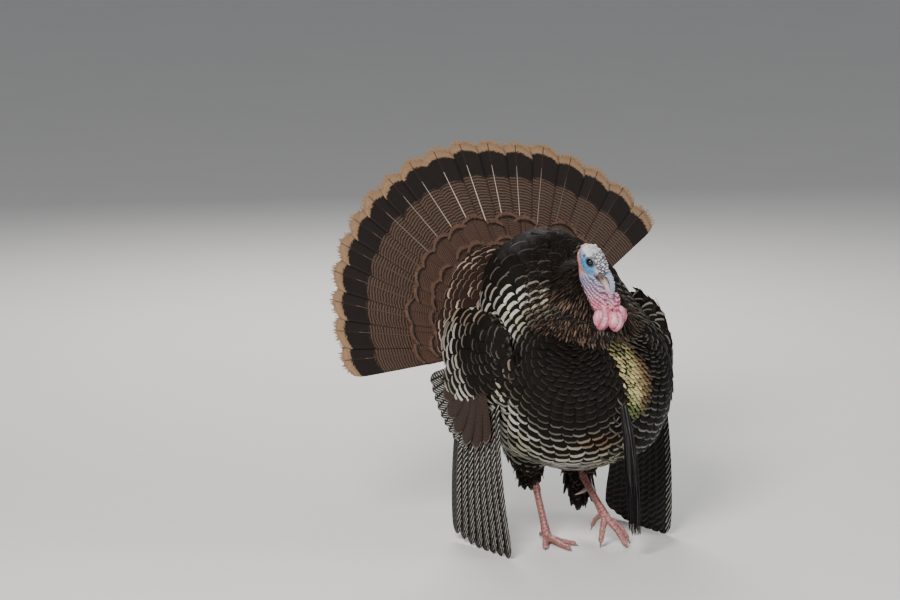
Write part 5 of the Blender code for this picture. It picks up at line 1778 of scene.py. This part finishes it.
legPlan = {
    "halfWidth": 0.0068, "halfDepth": 0.0082, "toeWidth": 0.006, "toeDepth": 0.0058, "voxel": 0.001,
    "swell": ((-0.1, 0.0, 0.12, 0.45, 0.8, 0.93, 1.0), (1.2, 1.33, 1.2, 0.94, 1.0, 1.26, 1.15)),
    "palm": (0.0098, 0.0112, 0.0095), "claw": 0.0138, "clawRadius": 0.0039, "clawDrop": 0.0035,
    "spur": 0.023, "spurRadius": 0.0049, "spurRise": 0.006,
    "right": {"hock": (-0.047, 0.074, 0.146), "ankle": (-0.045, 0.128, 0.013), "spurAlong": 0.52, "toes": {
        "2": ((-0.045, 0.13, 0.01), (-0.03, 0.158, 0.0052), (-0.019, 0.184, 0.0042)),
        "3": ((-0.045, 0.13, 0.01), (-0.047, 0.172, 0.0052), (-0.05, 0.212, 0.0042)),
        "4": ((-0.045, 0.13, 0.01), (-0.067, 0.156, 0.0052), (-0.083, 0.179, 0.0042)),
        "1": ((-0.045, 0.128, 0.016), (-0.039, 0.108, 0.012), (-0.034, 0.092, 0.007))}},
    "left": {"hock": (0.036, 0.102, 0.152), "ankle": (0.034, 0.212, 0.06), "spurAlong": 0.5, "toes": {
        "2": ((0.034, 0.214, 0.058), (0.023, 0.222, 0.036), (0.016, 0.226, 0.014)),
        "3": ((0.034, 0.214, 0.058), (0.046, 0.24, 0.032), (0.054, 0.254, 0.008)),
        "4": ((0.034, 0.214, 0.058), (0.06, 0.224, 0.036), (0.074, 0.232, 0.014)),
        "1": ((0.034, 0.208, 0.062), (0.031, 0.188, 0.048), (0.03, 0.178, 0.034))}},
    "shankPlate": 0.0074, "toePlate": 0.0046, "pebble": 0.0023,
    "hornDark": (0.06, 0.042, 0.036), "hornMid": (0.2, 0.14, 0.115), "hornPale": (0.62, 0.52, 0.44),
}


def legSolids(s, leg):
    # Gives shapes, the middle lines that the scales follow as (path, is the shank), and claws
    hock, ankle = spot(*leg["hock"]), spot(*leg["ankle"])
    v = np.linspace(-0.1, 1, 26)
    swell = np.interp(v, *s["swell"])
    path = hock + (ankle - hock) * v[:, None]
    shapes = [lofted(path, s["halfWidth"] * swell, s["halfDepth"] * swell, (1, 0, 0), 28, (0.6, 0.5))]
    lines, claws = [(path, True)], []
    palm = ankle.copy()
    palm[2] = max(palm[2], s["palm"][2] + 0.0008)
    shapes.append(ballShape(palm, s["palm"]))
    for name, stations in leg["toes"].items():
        rows = smoothRows([at(*p) for p in stations], 8)
        share = np.linspace(0, 1, len(rows))
        scale = 0.82 if name == "1" else 1.0
        # a pad under every joint
        pad = (1.18 - 0.3 * share) * (1 + 0.07 * np.cos(share * 2 * math.pi * 3.2 + 0.4)) * scale
        shapes.append(lofted(rows, s["toeWidth"] * pad, s["toeDepth"] * pad, (1, 0, 0), 22, (0.5, 0.9)))
        lines.append((rows, False))
        way = unit(rows[-1] - rows[-3])
        v = np.linspace(0, 1, 12)[:, None]
        claw = rows[-1] - way * 0.003 + way * (s["claw"] * v) - np.array((0, 0, s["clawDrop"])) * v ** 2
        size = (1 - 0.8 * v[:, 0]) * s["clawRadius"] * scale
        claw[:, 2] = np.maximum(claw[:, 2], size + 0.0003)
        claws.append((name, claw, size))
    return shapes, lines, claws, (hock, ankle)


def scaleRelief(s, co, lines):
    # Plates in rows across the front of the shank and the top of the toes, pebbles elsewhere
    best = np.full(len(co), 1e9)
    where, turn, shank = np.zeros((3, len(co)))
    for path, isShank in lines:
        length = np.concatenate([[0], np.cumsum(np.linalg.norm(np.diff(path, axis=0), axis=1))])
        for k, (a, b) in enumerate(zip(path[:-1], path[1:])):
            t = np.clip(((co - a) @ (b - a)) / max(((b - a) ** 2).sum(), 1e-12), 0, 1)
            off = co - (a + t[:, None] * (b - a))
            gap = np.linalg.norm(off, axis=1) - (0.0015 if isShank else 0)
            closer = gap < best
            best[closer] = gap[closer]
            where[closer] = (length[k] + t * (length[k + 1] - length[k]))[closer]
            shank[closer] = isShank
            way = unit(b - a)
            front = np.array((0, -1.0, 0.0)) if isShank else np.array((0, -0.3, 1.0))
            front = unit(front - way * (front @ way))
            turn[closer] = np.arctan2(off @ np.cross(way, front), off @ front)[closer]
    front = easeIn(np.abs(turn), 1.75, 1.25)
    onShank = shank > 0.5
    wobble = waver(co, 0.006, 2.0)
    row = where / np.where(onShank, s["shankPlate"], s["toePlate"])
    row = row + np.where((turn > 0) & onShank, 0.5, 0) + 0.1 * wobble
    edge = np.abs(row - np.floor(row) - 0.5) * 2
    seam = np.where(onShank, np.abs(turn) * 0.0075 / 0.0011, 9.0)
    plates = np.maximum(easeIn(edge, 0.78, 0.97), easeIn(seam, 1.0, 0.2))
    pebbles = 1 - np.clip(creases(co, s["pebble"], 1.7) / 0.3, 0, 1) ** 0.8
    grooveShade = front * plates + (1 - front) * pebbles
    return -0.00055 * grooveShade + 0.00022 * front * (1 - edge ** 2) + 0.0001 * wobble, grooveShade, front, shank


def makeLegSkin(s, side, corner):
    shapes, lines, claws, shankEnds = legSolids(s, s[side])
    piece = fusedShapes("legSkin_" + side, shapes, s["voxel"], 4)
    unwrapInto(piece, *corner)
    co = points(piece)
    height, grooveShade, front, shank = scaleRelief(s, co, lines)
    movePoints(piece, co + normals(piece) * height[:, None])
    keepOffFloor(piece)
    under = easeIn(normals(piece)[:, 2], -0.2, -0.7) * (1 - shank)
    paint(piece.data, "zones", np.clip(table(grooveShade, front, shank, under), 0, 1))
    print("leg skin", side, len(piece.data.polygons), "faces")
    return piece, claws, shankEnds


legLooks = {"red": (0.27, 0.09, 0.082), "pale": (0.44, 0.225, 0.205), "dark": (0.06, 0.022, 0.022),
            "dust": (0.3, 0.23, 0.2)}


def legMaterial(s):
    material, shader = newMaterial("legSkin")
    where, zones = places(shader), named(shader, "zones")
    mottle, fine = noisy(where, 240.0, 4.0), noisy(where, 1100.0, 2.0)
    colour = blend(ramp(mottle, 0.35, 0.65), s["red"], s["pale"])
    # dark seams between the scales and pebbles: partly the skin's own dark joints, partly painted shade in
    # the grooves
    colour = blend(times(split(zones["Color"])[0], 0.85), colour, s["dark"])
    colour = blend(times(zones["Alpha"], 0.5), colour, s["dust"])
    feed(shader, {"Base Color": blend(times(ramp(fine, 0.55, 0.75), 0.25), colour, s["dark"]),
                  "Roughness": times(mottle, 0.25, 0.32),
                  "Normal": bump(mottle, 0.3, 0.0004, bump(fine, 0.2, 0.0002))})
    return material


def makeLegs(s):
    clawHorn = hornMaterial("clawHorn", {"dark": s["hornDark"], "mid": s["hornMid"], "pale": s["hornMid"]})
    spurHorn = hornMaterial("spurHorn", {"dark": s["hornMid"], "mid": s["hornMid"], "pale": s["hornPale"]})
    x, y, width, height = skinSettings["corners"]["legs"]
    made = []
    for k, (side, sign) in enumerate(bothSides):
        piece, claws, (hock, ankle) = makeLegSkin(s, side, (x, y + height / 2 * k, width, height / 2))
        made.append(piece)
        for name, path, size in claws:
            horn = hornPiece("claw_horn_" + side + "_" + name, path, size * 0.85, size, (1, 0, 0), clawHorn,
                             16)
            keepOffFloor(horn)
            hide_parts("claw_" + side + "_" + name)
        along = unit(ankle - hock)
        rear = np.array((-0.35 * sign, 1.0, 0.0))
        rear = unit(rear - along * (rear @ along))
        root = hock + (ankle - hock) * s[side]["spurAlong"]
        v = np.linspace(0, 1, 14)[:, None]
        path = root + rear * (0.002 + (s["spur"] + s["halfDepth"]) * v) - along * (s["spurRise"] * v ** 2)
        size = s["spurRadius"] * (1 - 0.8 * v[:, 0])
        spur = hornPiece("spur_horn_" + side, path, size, size, (1, 0, 0), spurHorn, 18)
        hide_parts("spur_" + side)
    return made


legSkins = makeLegs(legPlan)


def underCoatMaterial(s):
    # The bare body under the feathers carries the coat's painted glints and shade and its coppery tint,
    # dimmed
    material, shader = newMaterial("skinUnderCoat")
    where, plume = places(shader), named(shader, "plume")
    glintStrength, warm, _ = split(plume["Color"])
    grain, fine = noisy(where, 120.0, 4.0), noisy(where, 900.0, 2.0)
    shine = times(times(glintStrength, ramp(grain, 0.45, 0.7)), 0.08)
    colour = blend(shine, blend(grain, s["dark"], s["mid"]), blend(warm, s["glintSilver"], s["copper"]))
    feed(shader, {"Base Color": blend(times(plume["Alpha"], 0.4), colour, s["light"]),
                  "Specular IOR Level": 0.05, "Roughness": times(fine, 0.2, 0.55),
                  "Normal": bump(grain, 0.4, 0.001, bump(fine, 0.2, 0.0003))})
    return material


def joinSkin():
    pieces, legs = (bodySkin, headSkin, *legSkins), legMaterial(legLooks)
    bpy.ops.object.select_all(action="DESELECT")
    for piece, material in zip(pieces, (underCoatMaterial(bodyPlumes), headMaterial(headLooks), legs, legs)):
        piece.data.materials.clear()
        piece.data.materials.append(material)
        piece.select_set(True)
    bpy.context.view_layer.objects.active = bodySkin
    bpy.ops.object.join()
    bodySkin.name = "skin"
    bodySkin.data.polygons.foreach_set("use_smooth", np.ones(len(bodySkin.data.polygons), dtype=bool))
    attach(bodySkin, "root")
    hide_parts("trunk", "neck", "rump", "undertail", "wing_coverts_left", "wing_coverts_right",
                "thigh_left", "thigh_right", "head", "throat", "snood", "wattles", "shank_left",
                "shank_right", "foot_left", "foot_right")
    print("skin", len(bodySkin.data.polygons), "faces")


joinSkin()

floorSettings = {"size": 40.0, "colour": (0.8, 0.79, 0.77), "mottle": (0.76, 0.755, 0.74)}


def makeFloor(s):
    half = s["size"] / 2
    mesh = bpy.data.meshes.new("floor")
    corners = [(-half, -half, 0), (half, -half, 0), (half, half, 0), (-half, half, 0)]
    mesh.from_pydata(corners, [], [(0, 1, 2, 3)])
    material, shader = newMaterial("floor")
    grain = noisy(places(shader), 3.0, 4.0)
    feed(shader, {"Base Color": blend(grain, s["colour"], s["mottle"]), "Roughness": 0.85})
    mesh.materials.append(material)
    addObject("floor", mesh)


makeFloor(floorSettings)
print("done")
